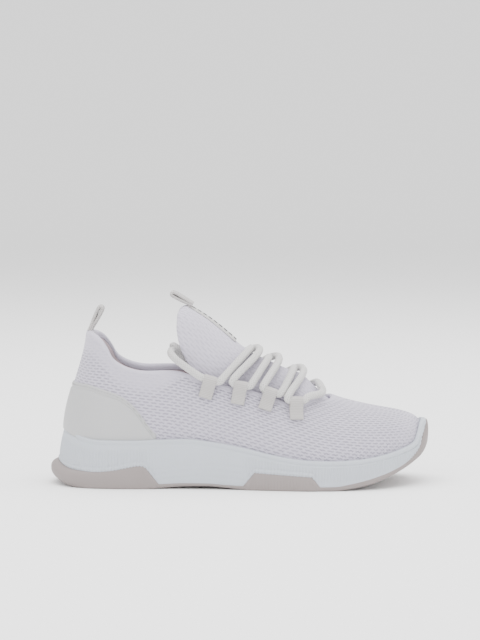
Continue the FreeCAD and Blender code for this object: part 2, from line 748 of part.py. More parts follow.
class LoopSeat:
    """Where a lace loop sits on a quarter: surface point and axes (forward, outward, upward)."""

    def __init__(self, x, side):
        place = next(i for i in range(len(SIDE_XS) - 1) if SIDE_XS[i + 1] <= x)
        share = (SIDE_XS[place] - x) / (SIDE_XS[place] - SIDE_XS[place + 1])
        last = QUARTER_COUNT - 1
        first, second = (place, place + 1) if side < 0 else (last - place, last - 1 - place)
        height = TOP_EDGE(x) - LOOP_DROP
        a, normal_a = column_at(first, v_of_height(first, height))
        b, normal_b = column_at(second, v_of_height(second, height))
        self.point = a * (1.0 - share) + b * share
        outward = normal_a * (1.0 - share) + normal_b * share
        outward.normalize()
        edge_front, edge_back = RING[first][-1], RING[second][-1]
        forward = edge_front - edge_back
        forward = forward - outward * forward.dot(outward)
        forward.normalize()
        upward = outward.cross(forward) if side > 0 else forward.cross(outward)
        upward = upward if upward.z > 0 else upward * -1.0
        self.forward, self.outward, self.upward = forward, outward, upward
        self.tube_radius = 0.5 * dim("lace_diameter") + dim("lace_clearance") + dim("webbing_thickness")
        tunnel_height = 0.5 * dim("loop_leg") + 1.0
        self.tunnel = self.point + outward * (LOOP_GAP + self.tube_radius) + upward * tunnel_height

    def placement(self):
        across = self.outward.cross(self.upward)
        return FreeCAD.Placement(self.point, FreeCAD.Rotation(across, self.outward, self.upward, "XYZ"))

    def ahead(self, distance):
        return self.tunnel + self.forward * distance


SEATS = {
    label: [LoopSeat(x, side) for x in LOOP_XS] for label, side in (("lateral", -1), ("medial", 1))
}


def lace_loops():
    """Each loop is a doubled strap sewn to the quarter, with the fold held open round the lace."""
    for label, seats in SEATS.items():
        for i, seat in enumerate(seats, start=1):
            name = f"lace_loop_{label}_{i}"
            centre_z = 0.5 * dim("loop_leg") + 1.0
            strap = doc.addObject("Part::Box", name + "_strap")
            strap.setExpression("Length", "dimensions.webbing_width")
            strap.setExpression("Width", "dimensions.webbing_thickness * 2")
            strap.setExpression("Height", "dimensions.loop_leg + 1")
            strap.Placement.Base = V(-0.5 * dim("webbing_width"), LOOP_GAP, -0.5 * dim("loop_leg"))
            turn = FreeCAD.Rotation(V(0, 1, 0), 90)
            fold = doc.addObject("Part::Cylinder", name + "_fold")
            fold.Radius = seat.tube_radius
            fold.setExpression("Height", "dimensions.webbing_width")
            fold.Placement = FreeCAD.Placement(
                V(-0.5 * dim("webbing_width"), LOOP_GAP + seat.tube_radius, centre_z), turn)
            tunnel = doc.addObject("Part::Cylinder", name + "_tunnel")
            tunnel.setExpression("Radius", "dimensions.lace_diameter / 2 + dimensions.lace_clearance")
            tunnel.setExpression("Height", "dimensions.webbing_width * 2")
            tunnel.Placement = FreeCAD.Placement(
                V(-dim("webbing_width"), LOOP_GAP + seat.tube_radius, centre_z), turn)
            joined = boolean("Fuse", name + "_joined", strap, fold)
            loop = boolean("Cut", name, joined, tunnel)
            loop.Placement = seat.placement()
            yield name, loop


# ---------------------------------------------------------------- lace
RIDGE_REAR = (8.4, 22.8, 42.2)
RIDGE_FRONT = (15.4, 30.8, 50.0)
BAR_X = 61.0
LACE_LIFT = 3.1
CROSS_LIFT = 2.4


def lace_corners():
    """Corner points of the lace, from the end tucked in on the lateral side to the medial one."""
    reach_out = 0.5 * dim("webbing_width") + 2.4
    lateral, medial = SEATS["lateral"], SEATS["medial"]

    def backwards(points):
        return list(reversed(points))

    def front(seat):
        corner = seat.ahead(reach_out)
        return [corner, corner + seat.forward * 2.0 + seat.upward * 3.9 + seat.outward * 0.6]

    def rear(seat):
        corner = seat.ahead(-reach_out)
        return [corner, corner + seat.upward * 4.2 + seat.outward * 2.4 + seat.forward * 0.4]

    def ridge(x, start_side, medial_lift=-3.0):
        z = RIDGE(x) + LACE_LIFT
        points = [V(x, -14.5, z), V(x, 14.5, z + medial_lift)]
        return points if start_side < 0 else backwards(points)

    def lifted(seat, x):
        low = seat.ahead(reach_out)
        high = V(x, 14.5, RIDGE(x) + LACE_LIFT + CROSS_LIFT)
        return [low * 0.68 + high * 0.32 + V(-1.0, 7.2, 4.8), low * 0.34 + high * 0.66 + V(0, 5.2, 4.0)]

    def tucked(side, seat):
        out = seat.ahead(-reach_out)
        away = out - seat.forward * 5.0 + seat.upward * 1.5
        return [V(-26, side * 14, 74), V(-42, side * 14, 98), V(-54, side * 19, 107),
                V(-53, side * 32, 101.5), away, out]

    bar_z = RIDGE(BAR_X) + LACE_LIFT + 0.4
    bar = [V(BAR_X, 13, bar_z), V(BAR_X, -13, bar_z)]
    stages = [
        tucked(-1, lateral[0]), front(lateral[0]),
        ridge(RIDGE_REAR[0], -1), backwards(rear(medial[1])), front(medial[1]),
        lifted(medial[1], RIDGE_FRONT[1]), ridge(RIDGE_FRONT[1], 1, CROSS_LIFT),
        backwards(rear(lateral[2])), front(lateral[2]),
        ridge(RIDGE_REAR[2], -1), backwards(rear(medial[3])), front(medial[3]),
        bar, backwards(front(lateral[3])), rear(lateral[3]),
        ridge(RIDGE_FRONT[2], -1, CROSS_LIFT), backwards(lifted(medial[2], RIDGE_FRONT[2])),
        backwards(front(medial[2])), rear(medial[2]),
        ridge(RIDGE_REAR[1], 1), backwards(front(lateral[1])), rear(lateral[1]),
        ridge(RIDGE_FRONT[0], -1, CROSS_LIFT), backwards(lifted(medial[0], RIDGE_FRONT[0])),
        backwards(front(medial[0])), backwards(tucked(1, medial[0])),
    ]
    return [corner for stage in stages for corner in stage]


def rounded_path(corners):
    """Straight runs joined by tangent arcs, as edges, and the smallest arc radius."""
    edges, smallest = [], 1e9
    start = corners[0]
    for before, corner, after in zip(corners, corners[1:], corners[2:]):
        back, ahead = before - corner, after - corner
        half = 0.5 * (math.pi - back.getAngle(ahead))
        length = 0.45 * min(back.Length, ahead.Length)
        radius = length / math.tan(half)
        smallest = min(smallest, radius)
        back.normalize()
        ahead.normalize()
        bisector = back + ahead
        bisector.normalize()
        first, last = corner + back * length, corner + ahead * length
        middle = corner + bisector * (radius / math.cos(half) - radius)
        edges.append(Part.makeLine(start, first))
        edges.append(Part.Arc(first, middle, last).toShape())
        start = last
    edges.append(Part.makeLine(start, corners[-1]))
    return edges, smallest


def lace_pieces():
    corners = lace_corners()
    edges, smallest = rounded_path(corners)
    spine = Part.Wire(edges)
    radius = 0.5 * dim("lace_diameter")
    start = corners[0]
    ring = Part.Wire([Part.makeCircle(radius, start, corners[1] - start)])
    lace = spine.makePipeShell([ring], True, True)
    print(f"lace: length {spine.Length:.1f} mm, smallest bend {smallest:.2f} mm,"
          f" volume ratio {lace.Volume / (spine.Length * math.pi * radius**2):.4f}")
    yield "lace", lace
    for label, end, inner in (("lateral", corners[0], corners[1]), ("medial", corners[-1], corners[-2])):
        away = end - inner
        away.normalize()
        yield f"aglet_{label}", Part.makeCylinder(radius, dim("aglet_length"), end, away)


# ---------------------------------------------------------------- pull tabs and webbing strip
def pull_tab(name, base):
    """A flat webbing loop: a stadium-shaped ring that stands on its base point and leans back or forward."""
    length = dim("tab_length")
    height = dim(name + "_height")

    def stadium(label, inset_by):
        half = 0.5 * height - inset_by
        low, high = 0.5 * height, length - 0.5 * height
        wire = Part.Wire([
            Part.makeLine(V(low, 0, half), V(high, 0, half)),
            Part.Arc(V(high, 0, half), V(high + half, 0, 0), V(high, 0, -half)).toShape(),
            Part.makeLine(V(high, 0, -half), V(low, 0, -half)),
            Part.Arc(V(low, 0, -half), V(low - half, 0, 0), V(low, 0, half)).toShape(),
        ])
        prism = doc.addObject("Part::Extrusion", f"{name}_{label}")
        prism.Base = feature(f"{name}_{label}_outline", wire)
        prism.DirMode = "Custom"
        prism.Dir = V(0, 1, 0)
        prism.Solid = True
        prism.Symmetric = True
        prism.setExpression("LengthFwd", "dimensions.tab_width" + ("" if inset_by == 0.0 else " * 2"))
        return prism

    tab = boolean("Cut", name, stadium("outer", 0.0), stadium("inner", dim("tab_thickness")))
    tab.Placement = FreeCAD.Placement(V(*base), FreeCAD.Rotation(V(0, -1, 0), dim(name + "_lean")))
    return tab


def strip_on_tongue():
    """The woven strip down the middle of the tongue flap."""
    half = 0.5 * dim("strip_width")
    grid = tongue_grid(TONGUE_SPLIT + 0.05, STRIP_END, 0.4)
    off_the_tongue = V(0.64, 0, 0.77)
    outer, inner = [], []
    for row in grid:
        middle = row[TONGUE_COLUMNS // 2]
        side = row[TONGUE_COLUMNS // 2 + 2]
        bend = (middle - side).dot(V(1, 0, 1).normalize()) / max(side.y, 1.0) ** 2
        back = side - middle
        back.y = 0
        back.normalize()
        for line, lift in zip((outer, inner), STRIP_LIFTS):
            line.append([
                middle + V(0, y, 0) + back * (bend * y * y) + off_the_tongue * lift
                for y in (-half, -0.5 * half, 0.0, 0.5 * half, half)
            ])
    return thick_solid(outer, inner)


# ---------------------------------------------------------------- all pieces
HEEL_TAB_BASE = (-116.6, 0, 121.5)
TONGUE_TAB_BASE = (-37.2, 0, 139.9)


def sole_pieces():
    rubber, foam = sole_unit()
    rubber_rear, rubber_toe = split_at_flex("rubber", rubber)
    seam_xs = [0.5 * (a[1] + b[0]) for a, b in (
        (TREAD_ROWS["ball_1"], TREAD_ROWS["ball_2"]), (TREAD_ROWS["ball_2"], TREAD_ROWS["ball_3"]))]
    yield "outsole_rear", cross_grooves("tread", rubber_rear, seam_xs)
    yield "outsole_toe", rubber_toe
    foam_rear, foam_toe = split_at_flex("foam", foam)
    yield "midsole_rear", foam_rear
    yield "midsole_toe", foam_toe


def webbing_pieces():
    yield "tongue_strip", strip_on_tongue()
    yield "heel_tab", pull_tab("heel_tab", HEEL_TAB_BASE)
    yield "tongue_tab", pull_tab("tongue_tab", TONGUE_TAB_BASE)


def all_pieces():
    """Every sub-part as a document object, under its own label."""
    pieces = {}
    for source in (
        sole_pieces, tread_blocks, upper, tongue, footbed_pieces, lace_loops, lace_pieces, webbing_pieces,
    ):
        for label, made in source():
            pieces[label] = feature(label, made) if isinstance(made, Part.Shape) else made
            pieces[label].Label = label
    return pieces


def check(pieces):
    """Stops the build if an object failed or a shape is missing or invalid."""
    for made in doc.Objects:
        if {"Invalid", "Error"} & set(made.State):
            raise RuntimeError(f"{made.Label} is in state {made.State}")
    for label, made in pieces.items():
        if made.Shape.isNull() or not made.Shape.isValid() or not made.Shape.Solids:
            raise RuntimeError(f"{label} has no valid solid")


PIECES = all_pieces()
doc.recompute()
check(PIECES)
os.makedirs("parts", exist_ok=True)
for label, made in PIECES.items():
    made.Shape.exportStep(f"parts/{label}.step")
print(f"{len(PIECES)} sub-parts written")
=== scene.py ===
"""Running shoe, right foot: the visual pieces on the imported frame.

Formulas are in millimetres and go to metres where a mesh is made. +X points towards the toe,
+Y towards the medial side and +Z up; the origin is on the ground under the sole.
"""

import math

import bmesh
import bpy
import numpy as np
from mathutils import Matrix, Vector


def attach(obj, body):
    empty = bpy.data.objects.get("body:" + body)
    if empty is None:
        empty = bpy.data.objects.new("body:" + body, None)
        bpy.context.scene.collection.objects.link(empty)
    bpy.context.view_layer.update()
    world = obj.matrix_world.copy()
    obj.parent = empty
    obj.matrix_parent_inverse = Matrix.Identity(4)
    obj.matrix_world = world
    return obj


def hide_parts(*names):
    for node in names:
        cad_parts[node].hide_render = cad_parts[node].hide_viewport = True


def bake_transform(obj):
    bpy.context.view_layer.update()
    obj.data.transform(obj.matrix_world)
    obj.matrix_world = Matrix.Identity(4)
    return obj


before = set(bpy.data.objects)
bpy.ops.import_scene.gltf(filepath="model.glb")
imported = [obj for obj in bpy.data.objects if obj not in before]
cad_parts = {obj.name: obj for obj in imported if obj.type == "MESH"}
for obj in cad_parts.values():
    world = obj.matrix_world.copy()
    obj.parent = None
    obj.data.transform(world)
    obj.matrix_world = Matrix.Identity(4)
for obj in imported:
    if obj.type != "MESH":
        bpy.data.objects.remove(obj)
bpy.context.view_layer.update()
MM = 0.001


# ---------------------------------------------------------------- smooth curves
def spline(points):
    """A smooth function through (x, value) points that never overshoots them."""
    xs, ys = np.array(points, float).T
    steps = np.diff(xs)
    slopes = np.diff(ys) / steps
    rising = slopes[:-1] * slopes[1:] > 0
    total = np.where(rising, slopes[:-1] + slopes[1:], 1.0)
    inner = np.where(rising, 2.0 * slopes[:-1] * slopes[1:] / total, 0.0)
    tangents = np.concatenate(([slopes[0]], inner, [slopes[-1]]))

    def value(x):
        x = np.clip(x, xs[0], xs[-1])
        i = np.clip(np.searchsorted(xs, x, side="left") - 1, 0, len(steps) - 1)
        u = (x - xs[i]) / steps[i]
        h = u * u * (3.0 - 2.0 * u)
        bend = (1.0 - u) * tangents[i] - u * tangents[i + 1]
        return ys[i] * (1.0 - h) + ys[i + 1] * h + steps[i] * u * (1.0 - u) * bend

    return value


def smooth(u):
    """0 below 0, 1 above 1, and a smooth step between."""
    u = np.clip(u, 0.0, 1.0)
    return u * u * (3.0 - 2.0 * u)


def bell(distance, width):
    return np.exp(-((distance / width) ** 2))


def spline_matrix(knots, places, period=None):
    """Turns values at the knots into a natural, or periodic, cubic spline's values at the places."""
    knots, places = np.asarray(knots, float), np.asarray(places, float)
    n = len(knots)
    closed = period is not None
    steps = np.diff(np.append(knots, knots[0] + period)) if closed else np.diff(knots)
    system, slopes = np.eye(n), np.zeros((n, n))
    for i in range(0 if closed else 1, n if closed else n - 1):
        a, b = steps[i - 1], steps[i % len(steps)]
        system[i, i] = 2.0 * (a + b)
        slopes[i, i] = -6.0 / a - 6.0 / b
        system[i, i - 1], slopes[i, i - 1] = a, 6.0 / a
        system[i, (i + 1) % n], slopes[i, (i + 1) % n] = b, 6.0 / b
    curvature = np.linalg.solve(system, slopes)
    if closed:
        places = knots[0] + np.mod(places - knots[0], period)
    cell = np.clip(np.searchsorted(knots, places, side="right") - 1, 0, len(steps) - 1)
    after = (cell + 1) % n
    h = steps[cell][:, None]
    b = (places - knots[cell])[:, None] / h
    a = 1.0 - b
    unit = np.eye(n)
    bent = (a**3 - a) * curvature[cell] + (b**3 - b) * curvature[after]
    return a * unit[cell] + b * unit[after] + bent * h * h / 6.0


def closed_curve(points, count):
    """Evenly spread points on a smooth closed curve through plan points."""
    points = np.array(points, float)
    chords = np.linalg.norm(np.roll(points, -1, axis=0) - points, axis=1)
    knots = np.concatenate(([0.0], np.cumsum(chords[:-1])))
    places = np.linspace(0.0, chords.sum(), count, endpoint=False)
    return spline_matrix(knots, places, chords.sum()) @ points


# ---------------------------------------------------------------- lines of the shoe
# Footprint of the rubber, from the heel round the lateral side to the toe and back.
FOOTPRINT = [
    (-148.5, 0.0), (-142.5, -22.0), (-127.0, -36.0), (-100.0, -41.5), (-60.0, -42.0),
    (-20.0, -44.5), (20.0, -50.0), (55.0, -54.0), (86.0, -52.0), (111.0, -43.5),
    (131.0, -29.5), (143.5, -13.0), (148.5, 4.0), (146.0, 19.5), (136.5, 34.0),
    (118.0, 46.5), (92.0, 53.5), (62.0, 53.5), (30.0, 45.5), (-5.0, 38.0),
    (-45.0, 36.5), (-80.0, 40.0), (-108.0, 40.5), (-129.0, 35.0), (-142.5, 21.5),
]
BITE_LINE = spline([
    (-143, 45.5), (-137, 44.4), (-128, 40.5), (-109, 37.2), (-84, 37.0), (-62, 37.8),
    (-42, 38.4), (-24, 36.6), (0, 32.6), (27, 26.5), (48, 23.4), (70, 22.6), (91, 23.3),
    (112, 26.0), (128, 29.8), (138, 33.5), (142, 40.0), (145, 47.5), (148, 50.5),
])
FOOTBED = spline([
    (-150, 29.5), (-130, 28.4), (-60, 27.4), (0, 21.4), (50, 15.9), (76, 15.6),
    (100, 18.0), (120, 22.4), (140, 28.5), (150, 31.5),
])
CROWN = spline([
    (58, 76.5), (64, 72.6), (76, 67.1), (88, 63.9), (100, 61.7), (112, 60.3), (124, 59.7), (146, 59.3),
])
RIDGE = spline([
    (-60, 141), (-40, 139.0), (-30, 134.5), (-20, 127.5), (-10, 119), (0, 110.0),
    (12, 101.5), (30, 93.5), (48, 85.0), (58, 76.5), (64, 72.6), (76, 67.0), (88, 63.8),
    (100, 61.2), (112, 59.2), (124, 57.4), (131, 56.1), (137, 54.2), (142, 51.8),
    (146, 49.5),
])
TOP_EDGE = spline([
    (-95, 97.0), (-89, 93.3), (-79, 91.1), (-65, 90.5), (-52, 91.0), (-44, 89.6),
    (-34, 85.6), (-24, 82.0), (0, 77.4), (20, 73.0), (42, 65.5), (52, 66.0), (58, 68.5),
])
COLLAR_BY_ANGLE = spline([(90, 97.0), (105, 106.0), (120, 114.0), (140, 118.5), (180, 120.8)])
OVERLAY_EDGE = spline([
    (-150, 80.2), (-138, 80.0), (-120, 79.7), (-104, 75.6), (-95, 72.6), (-88, 68.8), (-81, 62.8),
    (-75, 55.0), (-69.5, 47.0), (-64, 40.0), (-58, 32.0),
])
ARCH_POWER = spline([(-45, 2.0), (0, 1.85), (45, 1.8), (90, 2.1), (125, 2.5), (146, 2.4)])
TOP_HALF_WIDTH = spline([(-95, 30.0), (-80, 31.8), (-65, 32.6), (-55, 33.0), (-45, 33.2)])
# Underside and upper border of the rubber, in side view.
GROUND = spline([
    (-152, 25), (-149, 15.5), (-147.5, 10.6), (-144, 6), (-139, 3), (-133, 0.9), (-125, 0.0),
    (-75, 0.0), (-60, 0.8), (-40, 2.1), (-25, 2.3), (-8, 1.1), (6, 0.0), (72, 0.0), (84, 1.3),
    (100, 4.2), (115, 9.2), (131, 16.5), (142.5, 25), (147.5, 34), (152, 52),
])
HEEL_PAD_TOP = spline([
    (-152, 27), (-145, 20.4), (-137, 15.5), (-130, 13.8), (-112, 13), (-98, 14.3), (-85, 16.9), (-77, 18),
    (-74, 17.4),
])
FORE_PAD = [(2.5, 3.2), (11.0, 13.6), (54.9, 10.9), (61.3, 3.2)]
HEEL_PAD_FRONT = [(-74.0, 17.4), (-72.0, 16.0), (-62.5, 3.8)]
STRIP_TOP = spline([
    (-62.5, 3.8), (-41.8, 4.6), (-24, 4.5), (-10, 3.6), (2.5, 3.2), (61.3, 3.2), (73, 3.4), (84, 5.1),
    (107.5, 10.6), (123, 16.2), (132, 21.3), (139.5, 29.0), (142.5, 37), (145.5, 44.5), (147.5, 50.0),
])

MIDSOLE_STEP, HEEL_STEP, RIM, GAP = 1.5, 4.4, 4.2, 0.25


def rubber_top(x):
    """Upper border of the rubber: heel pad, arch strip, forefoot pad and toe strip."""
    heel = np.where(x < -74.0, HEEL_PAD_TOP(x), np.interp(x, *zip(*HEEL_PAD_FRONT)))
    fore = np.interp(x, *zip(*FORE_PAD))
    line = np.where(x < -62.5, heel, np.maximum(STRIP_TOP(x), np.where((x > 2.5) & (x < 61.3), fore, 0.0)))
    return np.minimum(line, BITE_LINE(x) - 0.6)


def heelward(x):
    return smooth((-112.0 - x) / 28.0)


def inset(points, distance, heel_extra=0.0):
    """The footprint moved inwards, by more at the back of the heel."""
    points = np.array(points, float)
    tangent = np.roll(points, -1, axis=0) - np.roll(points, 1, axis=0)
    tangent /= np.linalg.norm(tangent, axis=1)[:, None]
    step = (distance + heel_extra * heelward(points[:, 0]))[:, None]
    return points + np.stack([-tangent[:, 1], tangent[:, 0]], axis=1) * step


MIDSOLE_PLAN = inset(FOOTPRINT, MIDSOLE_STEP, HEEL_STEP)
UPPER_PLAN = inset(MIDSOLE_PLAN, RIM + GAP)
UPPER_POLYGON = closed_curve(UPPER_PLAN, 720)


def reach(x, angle_deg):
    """Distance from a point of the centre line to the upper's outline, in a direction."""
    direction = np.array([math.cos(math.radians(angle_deg)), math.sin(math.radians(angle_deg))])
    start = UPPER_POLYGON - (x, 0.0)
    edge = np.roll(start, -1, axis=0) - start
    cross = direction[0] * edge[:, 1] - direction[1] * edge[:, 0]
    cross = np.where(np.abs(cross) < 1e-12, 1e-12, cross)
    far = (start[:, 0] * edge[:, 1] - start[:, 1] * edge[:, 0]) / cross
    share = (start[:, 0] * direction[1] - start[:, 1] * direction[0]) / cross
    return far[(share >= 0.0) & (share <= 1.0)].max()


# ---------------------------------------------------------------- surface of the upper
HEEL_PIVOT_X = -95.0
THROAT_X = 58.0
ROWS_BELOW, ROWS_ABOVE = 3, 15
LAST_ROW = ROWS_BELOW + ROWS_ABOVE - 1
SIDE_XS = (58.0, 48.0, 38.0, 27.0, 16.0, 5.0, -7.0, -19.0, -31.0, -43.0, -54.0, -67.0, -81.0)
HEEL_ANGLES = (90.0, 104.0, 118.0, 132.0, 146.0, 158.0, 169.0)
TOE_ANGLES = (80.0, 70.0, 61.0, 52.0, 44.0, 36.0, 28.0, 20.0, 12.5, 6.0)
BITE_V = ROWS_BELOW / LAST_ROW


def bottom_rows(x, direction, base, floor, bite):
    """Points of the wall inside the sole, tucked in a little at the footbed."""
    share = np.arange(ROWS_BELOW) / ROWS_BELOW
    r = base - 1.2 * (1.0 - share)
    return np.stack([x + r * direction[0], r * direction[1], floor + (bite - floor) * share], axis=1)


def side_column(x, side, angle=90.0):
    """Outer-surface points in one upright plane, from the footbed to the collar or throat edge."""
    direction = (math.cos(math.radians(angle)), side * math.sin(math.radians(angle)))
    base = reach(x, side * angle)
    at = x + base * direction[0] if angle > 90.0 else x
    bite = BITE_LINE(at)
    top = COLLAR_BY_ANGLE(angle) if angle > 90.0 else TOP_EDGE(x)
    back = smooth((angle - 90.0) / 90.0)
    top_radius = TOP_HALF_WIDTH(x) * (1.0 - back) + 25.5 * back
    power = ARCH_POWER(x)
    walled = smooth((-43.0 - x) / 24.0)
    v = np.linspace(0.0, 1.0, ROWS_ABOVE)
    z = bite + (top - bite) * v
    ratio = np.minimum((z - bite) / (RIDGE(x) - bite), 1.0)
    arch = base * (1.0 - ratio**power) ** (1.0 / power)
    wall = base + (top_radius - base) * (0.75 * smooth(v) + 0.25 * v)
    r = arch * (1.0 - walled) + wall * walled
    above = np.stack([x + r * direction[0], r * direction[1], z], axis=1)
    return np.vstack([bottom_rows(x, direction, base, FOOTBED(at) + GAP, bite), above])


def toe_column(angle, throat_half):
    """Outer-surface points over the toe box, on a ray from the throat's front end."""
    direction = (math.cos(math.radians(angle)), math.sin(math.radians(angle)))
    base = reach(THROAT_X, angle)
    far_x = THROAT_X + base * direction[0]
    bite = BITE_LINE(min(far_x, 144.0))
    forward = direction[0] ** 2
    power = ARCH_POWER(THROAT_X) * (1.0 - forward) + 3.2 * forward
    edge = throat_half * (1.0 - 0.55 * forward) / base
    share = 1.0 - (1.0 - edge) * np.linspace(0.0, 1.0, ROWS_ABOVE) ** power
    x = THROAT_X + share * base * direction[0]
    z = bite + (CROWN(x) - bite) * (1.0 - share**power) ** (1.0 / power)
    above = np.stack([x, share * base * direction[1], z], axis=1)
    return np.vstack([bottom_rows(THROAT_X, direction, base, FOOTBED(far_x) + GAP, bite), above])


def grid_normals(grid, closed):
    """Unit normals of a grid of points, outward where columns run from the lateral side to the heel."""
    if closed:
        along = np.roll(grid, -1, axis=0) - np.roll(grid, 1, axis=0)
    else:
        along = np.gradient(grid, axis=0)
    up = np.empty_like(grid)
    up[:, 1:-1] = grid[:, 2:] - grid[:, :-2]
    up[:, 0], up[:, -1] = grid[:, 1] - grid[:, 0], grid[:, -1] - grid[:, -2]
    normal = np.cross(up, along)
    return normal / np.linalg.norm(normal, axis=2, keepdims=True)


def ring_columns():
    lateral = [side_column(x, -1) for x in SIDE_XS]
    heel_lateral = [side_column(HEEL_PIVOT_X, -1, a) for a in HEEL_ANGLES]
    heel_back = [side_column(HEEL_PIVOT_X, 1, 180.0)]
    heel_medial = [side_column(HEEL_PIVOT_X, 1, a) for a in reversed(HEEL_ANGLES)]
    medial = [side_column(x, 1) for x in reversed(SIDE_XS)]
    throat_half = -lateral[0][-1][1]
    angles = TOE_ANGLES + (0.0,) + tuple(-a for a in reversed(TOE_ANGLES))
    toe = [toe_column(a, throat_half) for a in angles]
    return np.array(lateral + heel_lateral + heel_back + heel_medial + medial + toe)


RING = ring_columns()
RING_NORMALS = grid_normals(RING, True)
RING_COUNT = len(RING)
QUARTER_COUNT = 2 * (len(SIDE_XS) + len(HEEL_ANGLES)) + 1
HEEL_PLACE = len(SIDE_XS) + len(HEEL_ANGLES)


def ring_at(places, v):
    """Points of the smooth outer surface: places (n) count columns, v (n, m) runs 0 to 1 upwards."""
    across = spline_matrix(np.arange(RING_COUNT), places, float(RING_COUNT))
    columns = np.einsum("ni,ijk->njk", across, RING)
    up = spline_matrix(np.arange(LAST_ROW + 1), np.clip(v, 0.0, 1.0).ravel() * LAST_ROW)
    return np.einsum("nmj,njk->nmk", up.reshape(*v.shape, -1), columns)


def ring_frames(places, v, closed):
    """Points, outward normals and upward tangents of the outer surface."""
    points = ring_at(places, v)
    step = 0.004
    above, below = np.clip(v + step, 0.0, 1.0), np.clip(v - step, 0.0, 1.0)
    up = ring_at(places, above) - ring_at(places, below)
    up /= np.linalg.norm(up, axis=2, keepdims=True)
    ahead = ring_at(places + 0.02, v) - ring_at(places - 0.02, v)
    normal = np.cross(up, ahead)
    normal /= np.linalg.norm(normal, axis=2, keepdims=True)
    return points, normal, up


def ring_value(places, values):
    """A value given for every coarse column, spread smoothly round the ring."""
    return spline_matrix(np.arange(RING_COUNT), places, float(RING_COUNT)) @ np.asarray(values, float)


COLUMN_RISE = np.linalg.norm(np.diff(RING[:, ROWS_BELOW:], axis=1), axis=2).sum(axis=1)
COLLAR_SHARE = smooth((-42.0 - RING[:, -1, 0]) / 22.0)


# ---------------------------------------------------------------- meshes
def quad_list(index):
    """Quads between neighbouring columns and rows of a grid of vertex numbers."""
    corners = [index[:-1, :-1], index[1:, :-1], index[1:, 1:], index[:-1, 1:]]
    return np.stack(corners, axis=-1).reshape(-1, 4)


def add_uv(mesh, name, values):
    """A UV layer from one pair of values for each vertex."""
    layer = mesh.uv_layers.new(name=name)
    corner = np.empty(len(mesh.loops), np.int32)
    mesh.loops.foreach_get("vertex_index", corner)
    layer.data.foreach_set("uv", values.reshape(-1, 2)[corner].astype(np.float32).ravel())


def finish_mesh(name, points, faces, uv=None):
    """An object from points in millimetres, with outward faces and smooth shading."""
    mesh = bpy.data.meshes.new(name)
    mesh.from_pydata((points.reshape(-1, 3) * MM).tolist(), [], [list(map(int, face)) for face in faces])
    if uv is not None:
        add_uv(mesh, "fabric", uv * 0.01)
    work = bmesh.new()
    work.from_mesh(mesh)
    bmesh.ops.recalc_face_normals(work, faces=work.faces)
    work.to_mesh(mesh)
    work.free()
    mesh.shade_smooth()
    piece = bpy.data.objects.new(name, mesh)
    bpy.context.collection.objects.link(piece)
    return piece


def sheet_solid(name, outer, inner, wrap=False, uv=None):
    """The closed solid between two grids of the same size; wrap joins the last column to the first."""
    count = outer.shape[0] * outer.shape[1]
    top = np.arange(count).reshape(outer.shape[:2])
    if wrap:
        top = np.vstack([top, top[:1]])
    under = top + count
    faces = [quad_list(top), quad_list(under)[:, ::-1]]
    faces.append(quad_list(np.stack([top[:, 0], under[:, 0]], axis=1)))
    faces.append(quad_list(np.stack([under[:, -1], top[:, -1]], axis=1)))
    if not wrap:
        faces.append(quad_list(np.stack([under[0], top[0]], axis=1)))
        faces.append(quad_list(np.stack([top[-1], under[-1]], axis=1)))
    both = None if uv is None else np.stack([uv, uv])
    return finish_mesh(name, np.stack([outer, inner]), np.vstack(faces), both)


def tube(name, path, section, ring_uv_scale):
    """A closed tube: section(angles, distance) gives radii along a path of points."""
    segments = 24
    angles = np.linspace(0.0, 2.0 * math.pi, segments, endpoint=False)
    steps = np.linalg.norm(np.diff(path, axis=0), axis=1)
    distance = np.concatenate(([0.0], np.cumsum(steps)))
    tangents = np.gradient(path, axis=0)
    tangents /= np.linalg.norm(tangents, axis=1)[:, None]
    side = np.cross(tangents[0], (0.0, 0.0, 1.0))
    rings = []
    for point, tangent, at in zip(path, tangents, distance):
        side = side - tangent * side.dot(tangent)
        side = side / np.linalg.norm(side)
        other = np.cross(tangent, side)
        radii = section(angles, at)[:, None]
        rings.append(point + radii * (np.cos(angles)[:, None] * side + np.sin(angles)[:, None] * other))
    grid = np.array(rings)
    index = np.arange(grid.shape[0] * segments).reshape(-1, segments)
    faces = quad_list(np.hstack([index, index[:, :1]])).tolist()
    faces += [index[0].tolist(), index[-1][::-1].tolist()]
    around = np.abs(np.linspace(-1.0, 1.0, segments, endpoint=False)) * ring_uv_scale
    uv = np.stack(np.broadcast_arrays(around[None, :], distance[:, None]), axis=-1)
    return finish_mesh(name, grid, faces, uv)


# ---------------------------------------------------------------- materials
def node(tree, kind, inputs=None, **settings):
    made = tree.nodes.new(kind)
    for key, value in settings.items():
        setattr(made, key, value)
    for key, value in (inputs or {}).items():
        if isinstance(value, bpy.types.NodeSocket):
            tree.links.new(value, made.inputs[key])
        else:
            made.inputs[key].default_value = value
    return made


def calc(tree, operation, *values):
    return node(tree, "ShaderNodeMath", dict(enumerate(values)), operation=operation).outputs[0]


def noise(tree, scale, detail=3.0):
    """Noise over the object's own coordinates, 0 to 1; scale is in waves per metre."""
    place = node(tree, "ShaderNodeTexCoord").outputs["Object"]
    inputs = {"Vector": place, "Scale": scale, "Detail": detail}
    return node(tree, "ShaderNodeTexNoise", inputs).outputs["Fac"]


def fabric_axes(tree):
    """The two fabric coordinates, in millimetres."""
    uv = node(tree, "ShaderNodeUVMap", uv_map="fabric").outputs["UV"]
    axes = node(tree, "ShaderNodeSeparateXYZ", {"Vector": uv})
    return calc(tree, "MULTIPLY", axes.outputs["X"], 100.0), calc(tree, "MULTIPLY", axes.outputs["Y"], 100.0)


